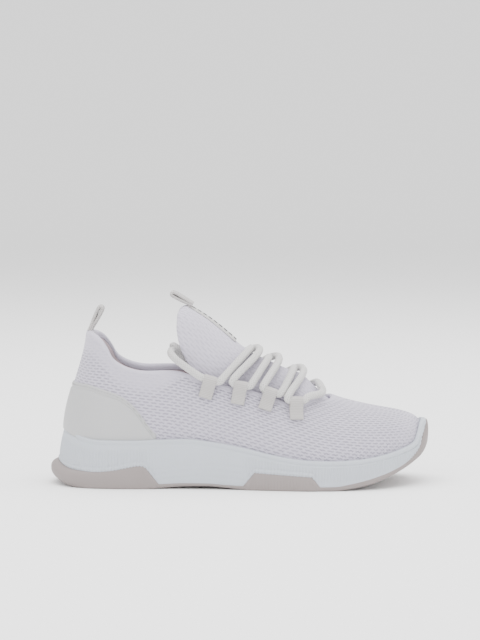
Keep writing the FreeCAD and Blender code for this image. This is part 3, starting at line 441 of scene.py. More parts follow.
def wave(tree, value, pitch):
    """A wave of the given pitch, 0 to 1."""
    turned = calc(tree, "SINE", calc(tree, "MULTIPLY", value, 2.0 * math.pi / pitch))
    return calc(tree, "MULTIPLY_ADD", turned, 0.5, 0.5)


def surface(name, dark, light, roughness, height, tint, depth, grain_share=0.25, grain_scale=900.0,
            **sockets):
    """A material whose colour runs from dark to light with tint, and whose bump follows height."""
    material = bpy.data.materials.new(name)
    material.use_nodes = True
    tree = material.node_tree
    shader = tree.nodes["Principled BSDF"]
    relief, shade = height(tree), tint(tree)
    grain = noise(tree, grain_scale)
    mottle = calc(tree, "MULTIPLY_ADD", noise(tree, 45.0), 0.30, -0.15)
    shade = calc(tree, "ADD", shade, mottle)
    shade = calc(tree, "MULTIPLY_ADD", calc(tree, "SUBTRACT", grain, 0.5), 0.5 * grain_share, shade)
    ramp = node(tree, "ShaderNodeValToRGB", {"Fac": shade})
    ramp.color_ramp.elements[0].color = (*dark, 1.0)
    ramp.color_ramp.elements[1].color = (*light, 1.0)
    tree.links.new(ramp.outputs["Color"], shader.inputs["Base Color"])
    uneven = calc(tree, "MULTIPLY_ADD", grain, 0.12, roughness - 0.06)
    tree.links.new(uneven, shader.inputs["Roughness"])
    relief = calc(tree, "MULTIPLY_ADD", grain, grain_share, relief)
    bump = node(tree, "ShaderNodeBump", {"Height": relief, "Strength": 1.0, "Distance": depth * MM})
    tree.links.new(bump.outputs["Normal"], shader.inputs["Normal"])
    for socket, value in sockets.items():
        shader.inputs[socket.replace("_", " ")].default_value = value
    return material


KNIT_DASH, KNIT_ROW = 6.6, 2.5


def knit_pore(tree):
    """1 in the open pores of the knit and 0 on its ribs: dashes in brick rows."""
    along, up = fabric_axes(tree)
    waver = calc(tree, "MULTIPLY_ADD", noise(tree, 160.0), 0.5, up)
    row = calc(tree, "DIVIDE", waver, KNIT_ROW)
    offset = calc(tree, "MULTIPLY", calc(tree, "PINGPONG", calc(tree, "FLOOR", row), 1.0), 0.5)
    dash = calc(tree, "ADD", calc(tree, "DIVIDE", along, KNIT_DASH), offset)
    in_row = calc(tree, "ABSOLUTE", calc(tree, "SUBTRACT", calc(tree, "FRACT", row), 0.5))
    in_dash = calc(tree, "ABSOLUTE", calc(tree, "SUBTRACT", calc(tree, "FRACT", dash), 0.5))
    narrow = calc(tree, "SUBTRACT", 1.0, calc(tree, "MULTIPLY", in_row, 3.3))
    short = calc(tree, "SUBTRACT", 1.0, calc(tree, "POWER", calc(tree, "MULTIPLY", in_dash, 2.5), 4.0))
    pore = calc(tree, "MULTIPLY", calc(tree, "MAXIMUM", narrow, 0.0), calc(tree, "MAXIMUM", short, 0.0))
    pore = calc(tree, "MINIMUM", calc(tree, "MULTIPLY", pore, 1.6), 1.0)
    openness = node(tree, "ShaderNodeUVMap", uv_map="openness").outputs["UV"]
    share = node(tree, "ShaderNodeSeparateXYZ", {"Vector": openness}).outputs["X"]
    return calc(tree, "MULTIPLY", pore, share)


def knit_yarn(tree):
    """Fine stitches that cross the ribs."""
    along, up = fabric_axes(tree)
    return calc(tree, "MULTIPLY", wave(tree, along, 0.9), wave(tree, up, 0.62))


def knit_height(tree):
    body = calc(tree, "SUBTRACT", 1.0, knit_pore(tree))
    return calc(tree, "MULTIPLY_ADD", knit_yarn(tree), 0.22, body)


def knit_tint(tree):
    body = calc(tree, "SUBTRACT", 1.0, calc(tree, "MULTIPLY", knit_pore(tree), 0.62))
    return calc(tree, "MULTIPLY_ADD", knit_yarn(tree), 0.10, calc(tree, "SUBTRACT", body, 0.05))


def even(level):
    return lambda tree: level


def weave(pitch_along, pitch_across):
    """Threads that cross: ribs one way, finer beats the other way."""
    def height(tree):
        along, across = fabric_axes(tree)
        return calc(tree, "MULTIPLY", wave(tree, along, pitch_along), wave(tree, across, pitch_across))
    return height


def braid(tree):
    """The crossing strands of a round braid; the first axis runs round, the second along."""
    around, along = fabric_axes(tree)
    left = wave(tree, calc(tree, "ADD", around, along), 1.9)
    right = wave(tree, calc(tree, "SUBTRACT", around, along), 1.9)
    return calc(tree, "MAXIMUM", left, right)


def strip_tint(tree):
    """Generic woven bands: pale borders and a dark, broken centre band."""
    across, along = fabric_axes(tree)
    centre = calc(tree, "SUBTRACT", 1.0, calc(tree, "DIVIDE", calc(tree, "ABSOLUTE", across), 4.6))
    band = calc(tree, "MINIMUM", calc(tree, "MULTIPLY", calc(tree, "MAXIMUM", centre, 0.0), 8.0), 1.0)
    broken = calc(tree, "GREATER_THAN", wave(tree, along, 5.0), 0.28)
    dark = calc(tree, "MULTIPLY", band, broken)
    return calc(tree, "SUBTRACT", 1.0, dark)


MATERIALS = {
    "knit": surface("upper_mesh", (0.27, 0.25, 0.33), (0.52, 0.49, 0.58), 0.82, knit_height, knit_tint, 0.55,
                    Sheen_Weight=0.25, Sheen_Roughness=0.5),
    # The tongue's knit is the upper's knit with lighter darks and less contrast: painted light, for the
    # tongue facing the lamp.
    "tongue": surface("tongue_knit", (0.34, 0.32, 0.39), (0.54, 0.51, 0.60), 0.85, knit_height, knit_tint,
                      0.35, Sheen_Weight=0.25, Sheen_Roughness=0.5),
    "lining": surface("lining", (0.36, 0.27, 0.30), (0.50, 0.40, 0.43), 0.9, weave(1.1, 0.9), even(0.6), 0.18,
                      Sheen_Weight=0.3, Sheen_Roughness=0.5),
    "foam": surface("midsole_foam", (0.40, 0.43, 0.47), (0.49, 0.52, 0.57), 0.55, even(0.5), even(0.55), 0.05,
                    grain_scale=1600.0),
    "rubber": surface("sole_rubber", (0.20, 0.17, 0.165), (0.28, 0.245, 0.235), 0.62, even(0.5), even(0.5),
                      0.08, grain_scale=2200.0),
    "leather": surface("overlay", (0.36, 0.36, 0.365), (0.46, 0.46, 0.465), 0.48, even(0.5), even(0.55), 0.10,
                       grain_scale=1400.0),
    "webbing": surface("webbing", (0.38, 0.36, 0.35), (0.60, 0.58, 0.57), 0.8, weave(1.3, 0.8),
                       weave(1.3, 0.8), 0.22, Sheen_Weight=0.2),
    "thread": surface("thread", (0.24, 0.24, 0.24), (0.36, 0.36, 0.36), 0.6, even(0.5), even(0.6), 0.1),
    "strip": surface("strip", (0.04, 0.04, 0.045), (0.50, 0.49, 0.48), 0.75, weave(0.8, 0.8), strip_tint,
                     0.15),
    "lace": surface("lace_braid", (0.38, 0.37, 0.36), (0.60, 0.59, 0.58), 0.78, braid, braid, 0.28,
                    Sheen_Weight=0.3, Sheen_Roughness=0.5),
    "insole": surface("insole_cloth", (0.37, 0.34, 0.36), (0.47, 0.44, 0.45), 0.9, weave(1.0, 1.0),
                      even(0.55), 0.15),
    "board": surface("board", (0.31, 0.29, 0.26), (0.41, 0.39, 0.36), 0.85, even(0.5), even(0.5), 0.12),
    "padding": surface("padding", (0.38, 0.37, 0.31), (0.50, 0.48, 0.43), 0.95, even(0.5), even(0.5), 0.4),
    "aglet": surface("aglet", (0.48, 0.48, 0.48), (0.56, 0.56, 0.56), 0.28, even(0.5), even(0.6), 0.02),
}


def dress(piece, material):
    piece.data.materials.clear()
    piece.data.materials.append(MATERIALS[material])
    return piece


def bend_at_ball(piece):
    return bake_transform(piece)


def bend_at_tongue(piece):
    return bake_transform(piece)


# ---------------------------------------------------------------- upper
COLUMNS = 620
RING_PLACES = np.linspace(0.0, RING_COUNT, COLUMNS, endpoint=False)
LINING_DEPTH = 3.7
COLLAR_EXTRA = 2.85
PAD_DROP = 34.0


def plan_inset(points):
    """Plan distance from the points to the upper's outline."""
    plan = points[..., :2].reshape(-1, 2)
    nearest = np.full(len(plan), np.inf)
    for corner in UPPER_POLYGON[::3]:
        nearest = np.minimum(nearest, np.hypot(plan[:, 0] - corner[0], plan[:, 1] - corner[1]))
    return nearest.reshape(points.shape[:-1])


def knit_place(points, places):
    """Fabric coordinates on the upper: rows run along the shoe and fall gently towards the toe."""
    bite = ring_value(places, RING[:, ROWS_BELOW, 2])[:, None]
    x, y, z = points[..., 0], points[..., 1], points[..., 2]
    wrap_share = -0.5 + 1.1 * smooth((x + 105.0) / 180.0)
    along = x - wrap_share * (np.abs(y) - 42.0)
    return np.stack([along, z - 0.4 * bite + 0.85 * plan_inset(points) + 0.17 * x], axis=-1)


def knit_relief(uv):
    """Depth of the knit's pores under its ribs, in millimetres."""
    row = uv[..., 1] / KNIT_ROW
    dash = uv[..., 0] / KNIT_DASH + 0.5 * (np.floor(row) % 2)
    narrow = np.clip(1.0 - 3.3 * np.abs(row % 1.0 - 0.5), 0.0, 1.0)
    short = np.clip(1.0 - (2.5 * np.abs(dash % 1.0 - 0.5)) ** 4, 0.0, 1.0)
    return 0.4 * narrow * short


def edge_radius(places):
    """Half the thickness of the rolled edge: thin round the throat, padded round the collar."""
    return 0.5 * (LINING_DEPTH + COLLAR_EXTRA * ring_value(places, COLLAR_SHARE))


def v_from_top(places, distance):
    """Height fraction at a distance down the surface from the top edge."""
    rise = ring_value(places, COLUMN_RISE)
    return 1.0 - distance * (1.0 - BITE_V) / rise


def padding_depth(places, v):
    """How far the inner face stands under the outer one."""
    rise = ring_value(places, COLUMN_RISE)[:, None]
    drop = (1.0 - v) / (1.0 - BITE_V) * rise
    share = ring_value(places, COLLAR_SHARE)[:, None]
    return LINING_DEPTH + COLLAR_EXTRA * share * smooth((PAD_DROP - drop) / 14.0)


def upper_knit():
    """The knit shell: up the outside, over the rolled edge and a little way down the inside."""
    places = RING_PLACES
    radius = edge_radius(places)
    top_v = v_from_top(places, radius)
    return_v = v_from_top(places, radius + 2.0)
    cloth = 1.0
    rows = np.linspace(0.0, 1.0, 118)
    v = 0.11 + (top_v[:, None] - 0.11) * rows
    points, normals, tangents = ring_frames(places, v, True)
    uv = knit_place(points, places)
    drop = (top_v[:, None] - v) / (1.0 - BITE_V) * ring_value(places, COLUMN_RISE)[:, None]
    band = 2.0 + 11.0 * ring_value(places, COLLAR_SHARE)[:, None]
    openness = 0.18 + 0.82 * smooth((drop - band * 0.4) / band)
    openness = openness * (1.0 - 0.45 * smooth((points[..., 0] - 112.0) / 26.0))
    outer = points - normals * (knit_relief(uv) * openness * smooth((v - BITE_V) / 0.03))[..., None]
    inner = points - normals * cloth
    top, normal, tangent = points[:, -1], normals[:, -1], tangents[:, -1]
    centre = top - normal * radius[:, None]
    roll_outer, roll_inner, roll_uv = [], [], []
    for turn in np.linspace(0.0, math.pi, 13)[1:]:
        direction = normal * math.cos(turn) + tangent * math.sin(turn)
        roll_outer.append(centre + direction * radius[:, None])
        roll_inner.append(centre + direction * (radius[:, None] - cloth))
        roll_uv.append(uv[:, -1] + np.stack([0 * radius, radius * turn], axis=-1))
    down = top_v[:, None] + (return_v - top_v)[:, None] * np.linspace(0.0, 1.0, 7)[1:]
    inside, inside_normals, _ = ring_frames(places, down, True)
    depth = 2.0 * radius[:, None, None]
    inside_outer = inside - inside_normals * depth
    inside_inner = inside - inside_normals * (depth - cloth)
    inside_uv = roll_uv[-1][:, None] + np.stack(np.broadcast_arrays(0.0, 2.0 * np.linspace(0, 1, 7)[1:]), -1)
    outer = np.concatenate([outer, np.stack(roll_outer, axis=1), inside_outer], axis=1)
    inner = np.concatenate([inner, np.stack(roll_inner, axis=1), inside_inner], axis=1)
    uv = np.concatenate([uv, np.stack(roll_uv, axis=1), inside_uv], axis=1)
    openness = np.concatenate([openness, np.full((len(places), outer.shape[1] - len(rows)), 0.1)], axis=1)
    piece = dress(sheet_solid("upper_knit", outer, inner, wrap=True, uv=uv), "knit")
    add_uv(piece.data, "openness", np.stack([openness, openness], axis=-1)[None].repeat(2, axis=0))
    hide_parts("mesh_quarters", "mesh_vamp", "mesh_vamp_flex", "mesh_toe_box")
    return bend_at_ball(piece)


def lining():
    """The soft lining from the end of the knit's turned edge down to the footbed."""
    places = np.linspace(0.0, RING_COUNT, 300, endpoint=False)
    high = v_from_top(places, edge_radius(places) + 2.3)
    v = 0.03 + (high[:, None] - 0.03) * np.linspace(0.0, 1.0, 46)
    points, normals, _ = ring_frames(places, v, True)
    depth = padding_depth(places, v)[..., None]
    uv = np.stack([places[:, None] * 12.0 + 0 * v, v * 90.0], axis=-1)
    inner, outer = points - normals * depth, points - normals * (depth - 0.7)
    piece = sheet_solid("lining", inner, outer, wrap=True, uv=uv)
    dress(piece, "lining")
    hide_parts("lining_quarters", "lining_vamp", "lining_vamp_flex", "lining_toe")
    return bend_at_ball(piece)


def collar_pad():
    """The padded collar inside the ankle opening: a crowned roll that thins out to its ends."""
    first, last = 9.0, QUARTER_COUNT - 10.0
    places = np.linspace(first, last, 240)
    low = v_from_top(places, PAD_DROP)
    high = v_from_top(places, edge_radius(places) + 2.6)
    share = np.linspace(0.0, 1.0, 26)
    v = low[:, None] + (high - low)[:, None] * share
    points, normals, _ = ring_frames(places, v, False)
    along = (places - first) / (last - first)
    crown_up, crown_along = 1.0 - np.abs(2.0 * share - 1.0) ** 3.0, 1.0 - np.abs(2.0 * along - 1.0) ** 8.0
    crown = crown_up[None, :] * crown_along[:, None]
    depth = padding_depth(places, v) + 0.15 + 1.7 * crown
    uv = np.stack([places[:, None] * 12.0 + 0 * v, v * 90.0], axis=-1)
    inner_face = points - normals * depth[..., None]
    back_face = points - normals * (depth - 0.4 - 2.0 * crown)[..., None]
    piece = dress(sheet_solid("collar_pad", inner_face, back_face, uv=uv), "lining")
    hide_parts("collar_foam")
    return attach(piece, "rearfoot")


def heel_panel():
    """The coated panel round the heel, with a pressed line along its upper border and stitches on it."""
    span = 11.4
    places = np.linspace(HEEL_PLACE - span, HEEL_PLACE + span, 300)
    fine = np.tile(np.linspace(BITE_V, 0.85, 160), (len(places), 1))
    trace = ring_at(places, fine)
    under = trace[..., 2] < OVERLAY_EDGE(trace[..., 0])
    top_v = np.take_along_axis(fine, (under.sum(axis=1) - 1).clip(0)[:, None], axis=1)[:, 0]
    keep = under.sum(axis=1) > 6
    places, top_v = places[keep], top_v[keep]
    kernel = np.ones(7) / 7.0
    top_v = np.convolve(np.pad(top_v, 3, mode="edge"), kernel, mode="valid")
    share = np.linspace(0.0, 1.0, 60)
    low_v = BITE_V - 0.02
    v = low_v + (top_v[:, None] - low_v) * share
    points, normals, tangents = ring_frames(places, v, False)
    rise = np.linalg.norm(np.diff(points, axis=1), axis=2)
    rise = np.concatenate([np.zeros((len(places), 1)), np.cumsum(rise, axis=1)], axis=1)
    below_edge = rise[:, -1:] - rise
    ends = np.minimum(np.arange(len(places)), np.arange(len(places))[::-1])[:, None] * 0.6
    border = np.minimum(below_edge, ends)
    lift = 0.25 + 0.85 * np.sqrt(np.clip(border / 0.9, 0.0, 1.0))
    groove = 0.75 * bell(below_edge - 4.4, 0.8) + 0.35 * bell(below_edge - 2.0, 0.6)
    outer = points + normals * (lift - groove)[..., None]
    inner = points - normals * 0.3
    uv = np.stack([places[:, None] * 12.0 + 0 * v, rise], axis=-1)
    piece = dress(sheet_solid("heel_panel", outer, inner, uv=uv), "leather")
    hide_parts("heel_overlay")
    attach(piece, "rearfoot")
    return stitches("heel_panel_stitches", points, normals, below_edge, 2.0, 0.95)


def stitches(name, points, normals, below_edge, drop, lift):
    """A run of short threads a fixed distance below the panel's border."""
    line = []
    for column, normal, distance in zip(points, normals, below_edge):
        if distance[0] > drop + 4.0:
            at = np.argmin(np.abs(distance - drop))
            line.append((column[at], normal[at]))
    work = bmesh.new()
    for i in range(1, len(line) - 3, 4):
        a, b = line[i], line[i + 2]
        low = Vector((a[0] + a[1] * lift) * MM)
        high = Vector((b[0] + b[1] * lift) * MM)
        made = bmesh.ops.create_icosphere(work, subdivisions=2, radius=0.5)["verts"]
        turn = (high - low).to_track_quat("X", "Z")
        for vertex in made:
            x, y, z = vertex.co
            stretched = Vector((x * (high - low).length, y * 0.75 * MM, z * 0.6 * MM))
            vertex.co = (low + high) * 0.5 + turn @ stretched
    mesh = bpy.data.meshes.new(name)
    work.to_mesh(mesh)
    work.free()
    mesh.shade_smooth()
    piece = bpy.data.objects.new(name, mesh)
    bpy.context.collection.objects.link(piece)
    dress(piece, "thread")
    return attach(piece, "rearfoot")


# ---------------------------------------------------------------- sole
SOLE_COLUMNS = 1120
OUTLINE = closed_curve(MIDSOLE_PLAN, SOLE_COLUMNS)
OUTLINE_TANGENT = np.roll(OUTLINE, -1, axis=0) - np.roll(OUTLINE, 1, axis=0)
OUTLINE_TANGENT /= np.linalg.norm(OUTLINE_TANGENT, axis=1)[:, None]
OUTLINE_OUT = np.stack([OUTLINE_TANGENT[:, 1], -OUTLINE_TANGENT[:, 0]], axis=1)
RIB_PHASE = np.arange(SOLE_COLUMNS) * 2.0 * math.pi / 4.0
CLOSING = (0.96, 0.88, 0.76, 0.6, 0.42, 0.22, 0.0)


def outline_row(outward, height):
    """One row of points round the sole: moved outwards from the midsole's outline, at a height."""
    plan = OUTLINE + OUTLINE_OUT * np.broadcast_to(outward, (SOLE_COLUMNS,))[:, None]
    return np.column_stack([plan, np.broadcast_to(height, (SOLE_COLUMNS,))])


def closing_rows(row, height_of, shares=CLOSING):
    """Rows that close a floor or underside towards the centre line."""
    rows = []
    for share in shares:
        closer = row.copy()
        closer[:, 1] *= share
        closer[:, 2] = height_of(closer[:, 0], closer[:, 1])
        rows.append(closer)
    return rows


def rows_to_piece(name, rows):
    grid = np.stack(rows, axis=1)
    index = np.arange(grid.shape[0] * grid.shape[1]).reshape(grid.shape[:2])
    piece = finish_mesh(name, grid, quad_list(np.vstack([index, index[:1]])))
    work = bmesh.new()
    work.from_mesh(piece.data)
    bmesh.ops.remove_doubles(work, verts=work.verts, dist=0.02 * MM)
    bmesh.ops.recalc_face_normals(work, faces=work.faces)
    work.to_mesh(piece.data)
    work.free()
    piece.data.shade_smooth()
    return piece


def midsole_wall(x, share, z, top):
    """How far the foam wall stands out from its outline: bulge, heel sweep, ribs, contour lines and lips."""
    ribs = 0.5 + 0.5 * np.cos(RIB_PHASE)
    arch = smooth((x + 76.0) / 14.0) * smooth((12.0 - x) / 14.0)
    middle = smooth((share - 0.12) / 0.2) * smooth((0.86 - share) / 0.12)
    wall = 0.7 * np.sin(math.pi * np.clip(share, 0.0, 1.0)) - 0.8 * share**4
    wall = wall - 4.2 * heelward(x) * np.clip(share, 0.0, 1.0) ** 1.6
    wall = wall - 0.75 * ribs * middle * (1.0 - 0.85 * arch)
    for lift, fall in ((6.5, 0.030), (11.0, 0.055), (15.5, 0.085)):
        line = GROUND(x) + lift + fall * (x + 30.0) * 0.5 + 1.2 * np.sin((x + 80.0) / 30.0)
        wall = wall - 0.35 * arch * bell(z - line, 0.55)
    wall = wall - 0.7 * bell(z - (top - 3.1), 0.55) + 0.25 * bell(z - (top - 1.4), 0.9)
    pad_line = rubber_top(x)
    raised = smooth((pad_line - GROUND(x) - 5.0) / 3.0)
    return wall + raised * (0.75 * bell(z - (pad_line + 1.5), 1.0) - 0.5 * bell(z - (pad_line + 3.6), 0.5))


def midsole():
    """The foam midsole: ribbed wall, rim band, rolled lip, cavity wall and footbed floor."""
    x = OUTLINE[:, 0]
    top = BITE_LINE(x)
    low = GROUND(x) + 1.6
    start = outline_row(-3.0, low)
    rows = closing_rows(start, lambda px, py: GROUND(px) + 1.8)[::-1] + [start]
    for share in np.linspace(0.0, 1.0, 38):
        z = low + (top - 0.8 - low) * share
        rows.append(outline_row(midsole_wall(x, share, z, top), z))
    edge = midsole_wall(x, 1.0, top - 0.8, top)
    for turn in (0.35, 0.75, 1.15, 1.55):
        rows.append(outline_row(edge - 1.0 * (1.0 - math.cos(turn)), top - 0.8 + 0.8 * math.sin(turn)))
    rows.append(outline_row(-RIM + 0.5, top + 0.25))
    rows.append(outline_row(-RIM, top - 0.2))
    floor = FOOTBED(x)
    for share in (0.4, 0.8, 1.0):
        rows.append(outline_row(-RIM, top + (floor - top) * share))
    rows += closing_rows(rows[-1], lambda px, py: FOOTBED(px))
    piece = dress(rows_to_piece("midsole", rows), "foam")
    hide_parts("midsole_rear", "midsole_toe")
    return bend_at_ball(piece)


def tread_recess(x, y):
    """Depth of the grooves between the tread lugs, under the heel and the ball."""
    heel = smooth((-72.0 - x) / 5.0) * smooth((x + 136.0) / 8.0)
    seats = heel + smooth((x - 4.0) / 5.0) * smooth((118.0 - x) / 8.0)
    bend = x + 0.0035 * y * y
    cross = smooth((np.abs(((bend / 11.0) % 1.0) - 0.5) - 0.38) / 0.05)
    split = smooth((1.6 - np.abs(np.abs(y) - 15.0)) / 0.8) + smooth((1.8 - np.abs(y)) / 0.8)
    inside = smooth((46.0 - np.abs(y)) / 3.0)
    return 1.5 * seats * inside * np.clip(cross + split, 0.0, 1.0)


def outsole():
    """The rubber: heel pad, arch strip, forefoot pad, toe strip and bumper, with a lugged underside."""
    x = OUTLINE[:, 0]
    top = rubber_top(x)
    ground = GROUND(x)
    raised = smooth((top - ground - 3.5) / 4.0)
    step = 0.45 + (MIDSOLE_STEP - 0.45) * raised + HEEL_STEP * heelward(x)
    fore = smooth((x + 2.0) / 8.0) * smooth((66.0 - x) / 6.0)
    ribs = 0.22 * (0.5 + 0.5 * np.cos(RIB_PHASE)) * raised * fore
    upper = step - 3.6 * heelward(x) - 0.9 * raised
    rows = [outline_row(-2.0, top - 0.6), outline_row(-0.6, top), outline_row(upper - 0.4, top)]
    bottom = ground + 0.9
    for share in np.linspace(0.03, 1.0, 16):
        z = top + (bottom - top) * share
        rounding = 3.6 * heelward(x) * np.abs(2.0 * share - 1.0) ** 3 + 0.9 * raised * (1.0 - share) ** 6
        swell = 0.35 * math.sin(math.pi * share)
        rows.append(outline_row(step + swell - rounding - ribs * smooth((share - 0.05) / 0.1), z))
    lower = step - 3.6 * heelward(x)
    rows.append(outline_row(lower - 0.25, ground + 0.4))
    rows.append(outline_row(lower - 0.9, ground + 0.08))
    shares = (0.97, 0.94, 0.90, 0.86, 0.81, 0.76, 0.71, 0.66, 0.61, 0.56, 0.51, 0.46, 0.41, 0.37, 0.33, 0.29,
              0.25, 0.20, 0.15, 0.10, 0.06, 0.03, 0.0)
    rows += closing_rows(rows[-1], lambda px, py: GROUND(px) + tread_recess(px, py), shares)
    piece = dress(rows_to_piece("outsole", rows), "rubber")
    treads = [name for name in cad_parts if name.startswith("tread_block_")]
    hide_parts("outsole_rear", "outsole_toe", *treads)
    return bend_at_ball(piece)


def insole():
    """The cloth-covered insole: a shallow cup that lies on the footbed."""
    rows = []
    x = OUTLINE[:, 0]
    edge = -(RIM + GAP + 4.6)
    base = FOOTBED(x) + 2.0

    def upper_face(px, py):
        return FOOTBED(px) + 6.6 + 0.0022 * py * py

    bottom = outline_row(edge, base)
    rows += closing_rows(bottom, lambda px, py: FOOTBED(px) + 2.0)[::-1] + [bottom]
    rows.append(outline_row(edge + 0.3, base + 1.5))
    rows.append(outline_row(edge + 0.2, base + 4.4))
    rim = outline_row(edge - 0.8, 0.0)
    rim[:, 2] = upper_face(rim[:, 0], rim[:, 1])
    rows += [rim] + closing_rows(rim, upper_face)
    piece = rows_to_piece("insole", rows)
    layer = piece.data.uv_layers.new(name="fabric")
    for loop in piece.data.loops:
        place = piece.data.vertices[loop.vertex_index].co
        layer.data[loop.index].uv = (place.x * 10.0, place.y * 10.0)
    dress(piece, "insole")
    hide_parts("insole_rear", "insole_toe", "insole_cloth_rear", "insole_cloth_toe")
    return bend_at_ball(piece)


# ---------------------------------------------------------------- tongue
# Each line: centre x, z on the instep; edge x, z in side view; half width at the edges.
TONGUE_SECTIONS = [
    (76.0, 60.4, 76.0, 56.0, 14.0), (68.0, 64.6, 67.0, 56.5, 20.0), (57.0, 74.4, 55.0, 57.5, 25.0),
    (46.0, 84.6, 42.0, 61.0, 28.5), (30.0, 92.2, 24.0, 66.0, 27.8),
    (12.0, 100.6, 4.0, 71.0, 27.2), (0.0, 108.4, -14.0, 76.0, 27.0), (-8.6, 116.0, -27.0, 83.0, 27.5),
    (-15.8, 122.0, -38.0, 93.0, 28.0), (-22.8, 127.4, -44.5, 104.0, 28.5), (-29.6, 132.0, -48.0, 115.0, 28.0),
    (-35.3, 135.4, -49.5, 125.0, 25.5), (-40.0, 138.2, -49.5, 133.0, 20.0),
    (-43.5, 139.6, -47.5, 138.0, 11.0),
]
TONGUE_START = 0.7
TONGUE_SWEEP = math.radians(86.0)
TONGUE_THICKNESS = 4.9
TONGUE_LINES = [spline([(i, row[k]) for i, row in enumerate(TONGUE_SECTIONS)]) for k in range(5)]


def tongue_surface(sections, turns):
    """Outer-face points of the tongue at section numbers and turns from -1 to 1 across it."""
    s = np.asarray(sections, float)[:, None]
    cx, cz, ex, ez, half = (line(s) for line in TONGUE_LINES)
    a = TONGUE_SWEEP * np.asarray(turns, float)[None, :]
    width = half - np.where(a > 0.0, 6.0 * smooth((11.5 - s) / 5.0), 0.6)
    drop = (1.0 - np.cos(a)) / (1.0 - math.cos(TONGUE_SWEEP))
    y = width * np.sin(a) / math.sin(TONGUE_SWEEP)
    return np.stack([cx + (ex - cx) * drop, y, cz + (ez - cz) * drop], axis=-1)


def tongue_normals(grid):
    normals = grid_normals(grid, False)
    centre = normals[len(grid) // 2, grid.shape[1] // 2]
    return normals if centre[2] + centre[0] > 0.0 else -normals


def tongue():
    """The padded tongue: one crowned, knit-covered pad whose edges close round."""
    sections = np.linspace(TONGUE_START, len(TONGUE_SECTIONS) - 1.0, 200)
    turns = np.sin(np.linspace(-0.5, 0.5, 110) * math.pi * 0.985) / math.sin(0.5 * math.pi * 0.985)
    grid = tongue_surface(sections, turns)
    normals = tongue_normals(grid)
    along = (sections - TONGUE_START) / (sections[-1] - TONGUE_START)
    side_close = np.sqrt(np.clip(1.0 - np.abs(turns) ** 9.0, 0.0, 1.0))[None, :]
    end_close = np.sqrt(np.clip(1.0 - np.clip((along - 0.93) / 0.07, 0.0, 1.0) ** 2, 0.0, 1.0))[:, None]
    half = 0.5 * TONGUE_THICKNESS * side_close * end_close + 0.04
    filling = 1.9 * smooth((3.8 - sections) / 1.2)[:, None] * side_close
    steps = np.linalg.norm(np.diff(grid[:, 55], axis=0), axis=1)
    length = np.concatenate(([0.0], np.cumsum(steps)))[:, None] + 0 * grid[..., 0]
    girth = np.linalg.norm(np.diff(grid, axis=1), axis=2)
    girth = np.concatenate([np.zeros((len(grid), 1)), np.cumsum(girth, axis=1)], axis=1)
    uv = np.stack([length, girth - girth[:, -1:] * 0.5], axis=-1)
    relief = knit_relief(uv) * 0.6 * side_close * end_close
    puff = 0.5 * np.sin(math.pi * np.abs(turns))[None, :] * smooth((sections[:, None] - 6.0) / 2.0)
    middle = grid - normals * (0.5 * TONGUE_THICKNESS)
    outer = middle + normals * (half + puff * end_close + filling - relief)[..., None]
    inner = middle - normals * half[..., None]
    piece = dress(sheet_solid("tongue", outer, inner, uv=uv), "tongue")
    add_uv(piece.data, "openness", np.full((2, grid[..., 0].size, 2), 0.55))
    for layer in ("face", "foam", "lining"):
        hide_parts(f"tongue_{layer}_lower", f"tongue_{layer}_flap")
    return bend_at_tongue(piece)


def tongue_strip():
    """The woven strip down the middle of the tongue's upper half."""
    sections = np.linspace(6.4, 12.2, 80)
    half_width = 6.6
    across = np.linspace(-1.0, 1.0, 15)
    wide = tongue_surface(sections, np.linspace(-0.5, 0.5, 161))
    normals = tongue_normals(wide)
    outer, inner, uv = [], [], []
    length = 0.0
    for i, (row, normal) in enumerate(zip(wide, normals)):
        if i:
            length += np.linalg.norm(row[80] - wide[i - 1][80])
        places = [np.interp(half_width * a, row[:, 1], np.arange(161)) for a in across]
        line = np.array([[np.interp(p, np.arange(161), row[:, k]) for k in range(3)] for p in places])
        lean = np.array([[np.interp(p, np.arange(161), normal[:, k]) for k in range(3)] for p in places])
        edge = np.sqrt(1.0 - np.abs(across) ** 8)[:, None]
        outer.append(line + lean * (0.55 + 1.05 * edge))
        inner.append(line + lean * 0.5)
        uv.append(np.stack([across * half_width, across * 0 + length], axis=-1))
    solid = sheet_solid("tongue_strip_woven", np.array(outer), np.array(inner), uv=np.array(uv))
    piece = dress(solid, "strip")
    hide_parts("tongue_strip")
    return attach(piece, "tongue")


# ---------------------------------------------------------------- webbing
LOOP_XS = (-25.0, -1.0, 21.0, 43.0)
LOOP_DROP, LOOP_GAP, LOOP_LEG = 6.0, 0.35, 12.0
WEBBING_WIDTH, WEBBING_THICKNESS = 9.0, 1.1
LACE_RADIUS, LACE_CLEARANCE = 2.3, 0.35


def unit(vector):
    return vector / np.linalg.norm(vector)


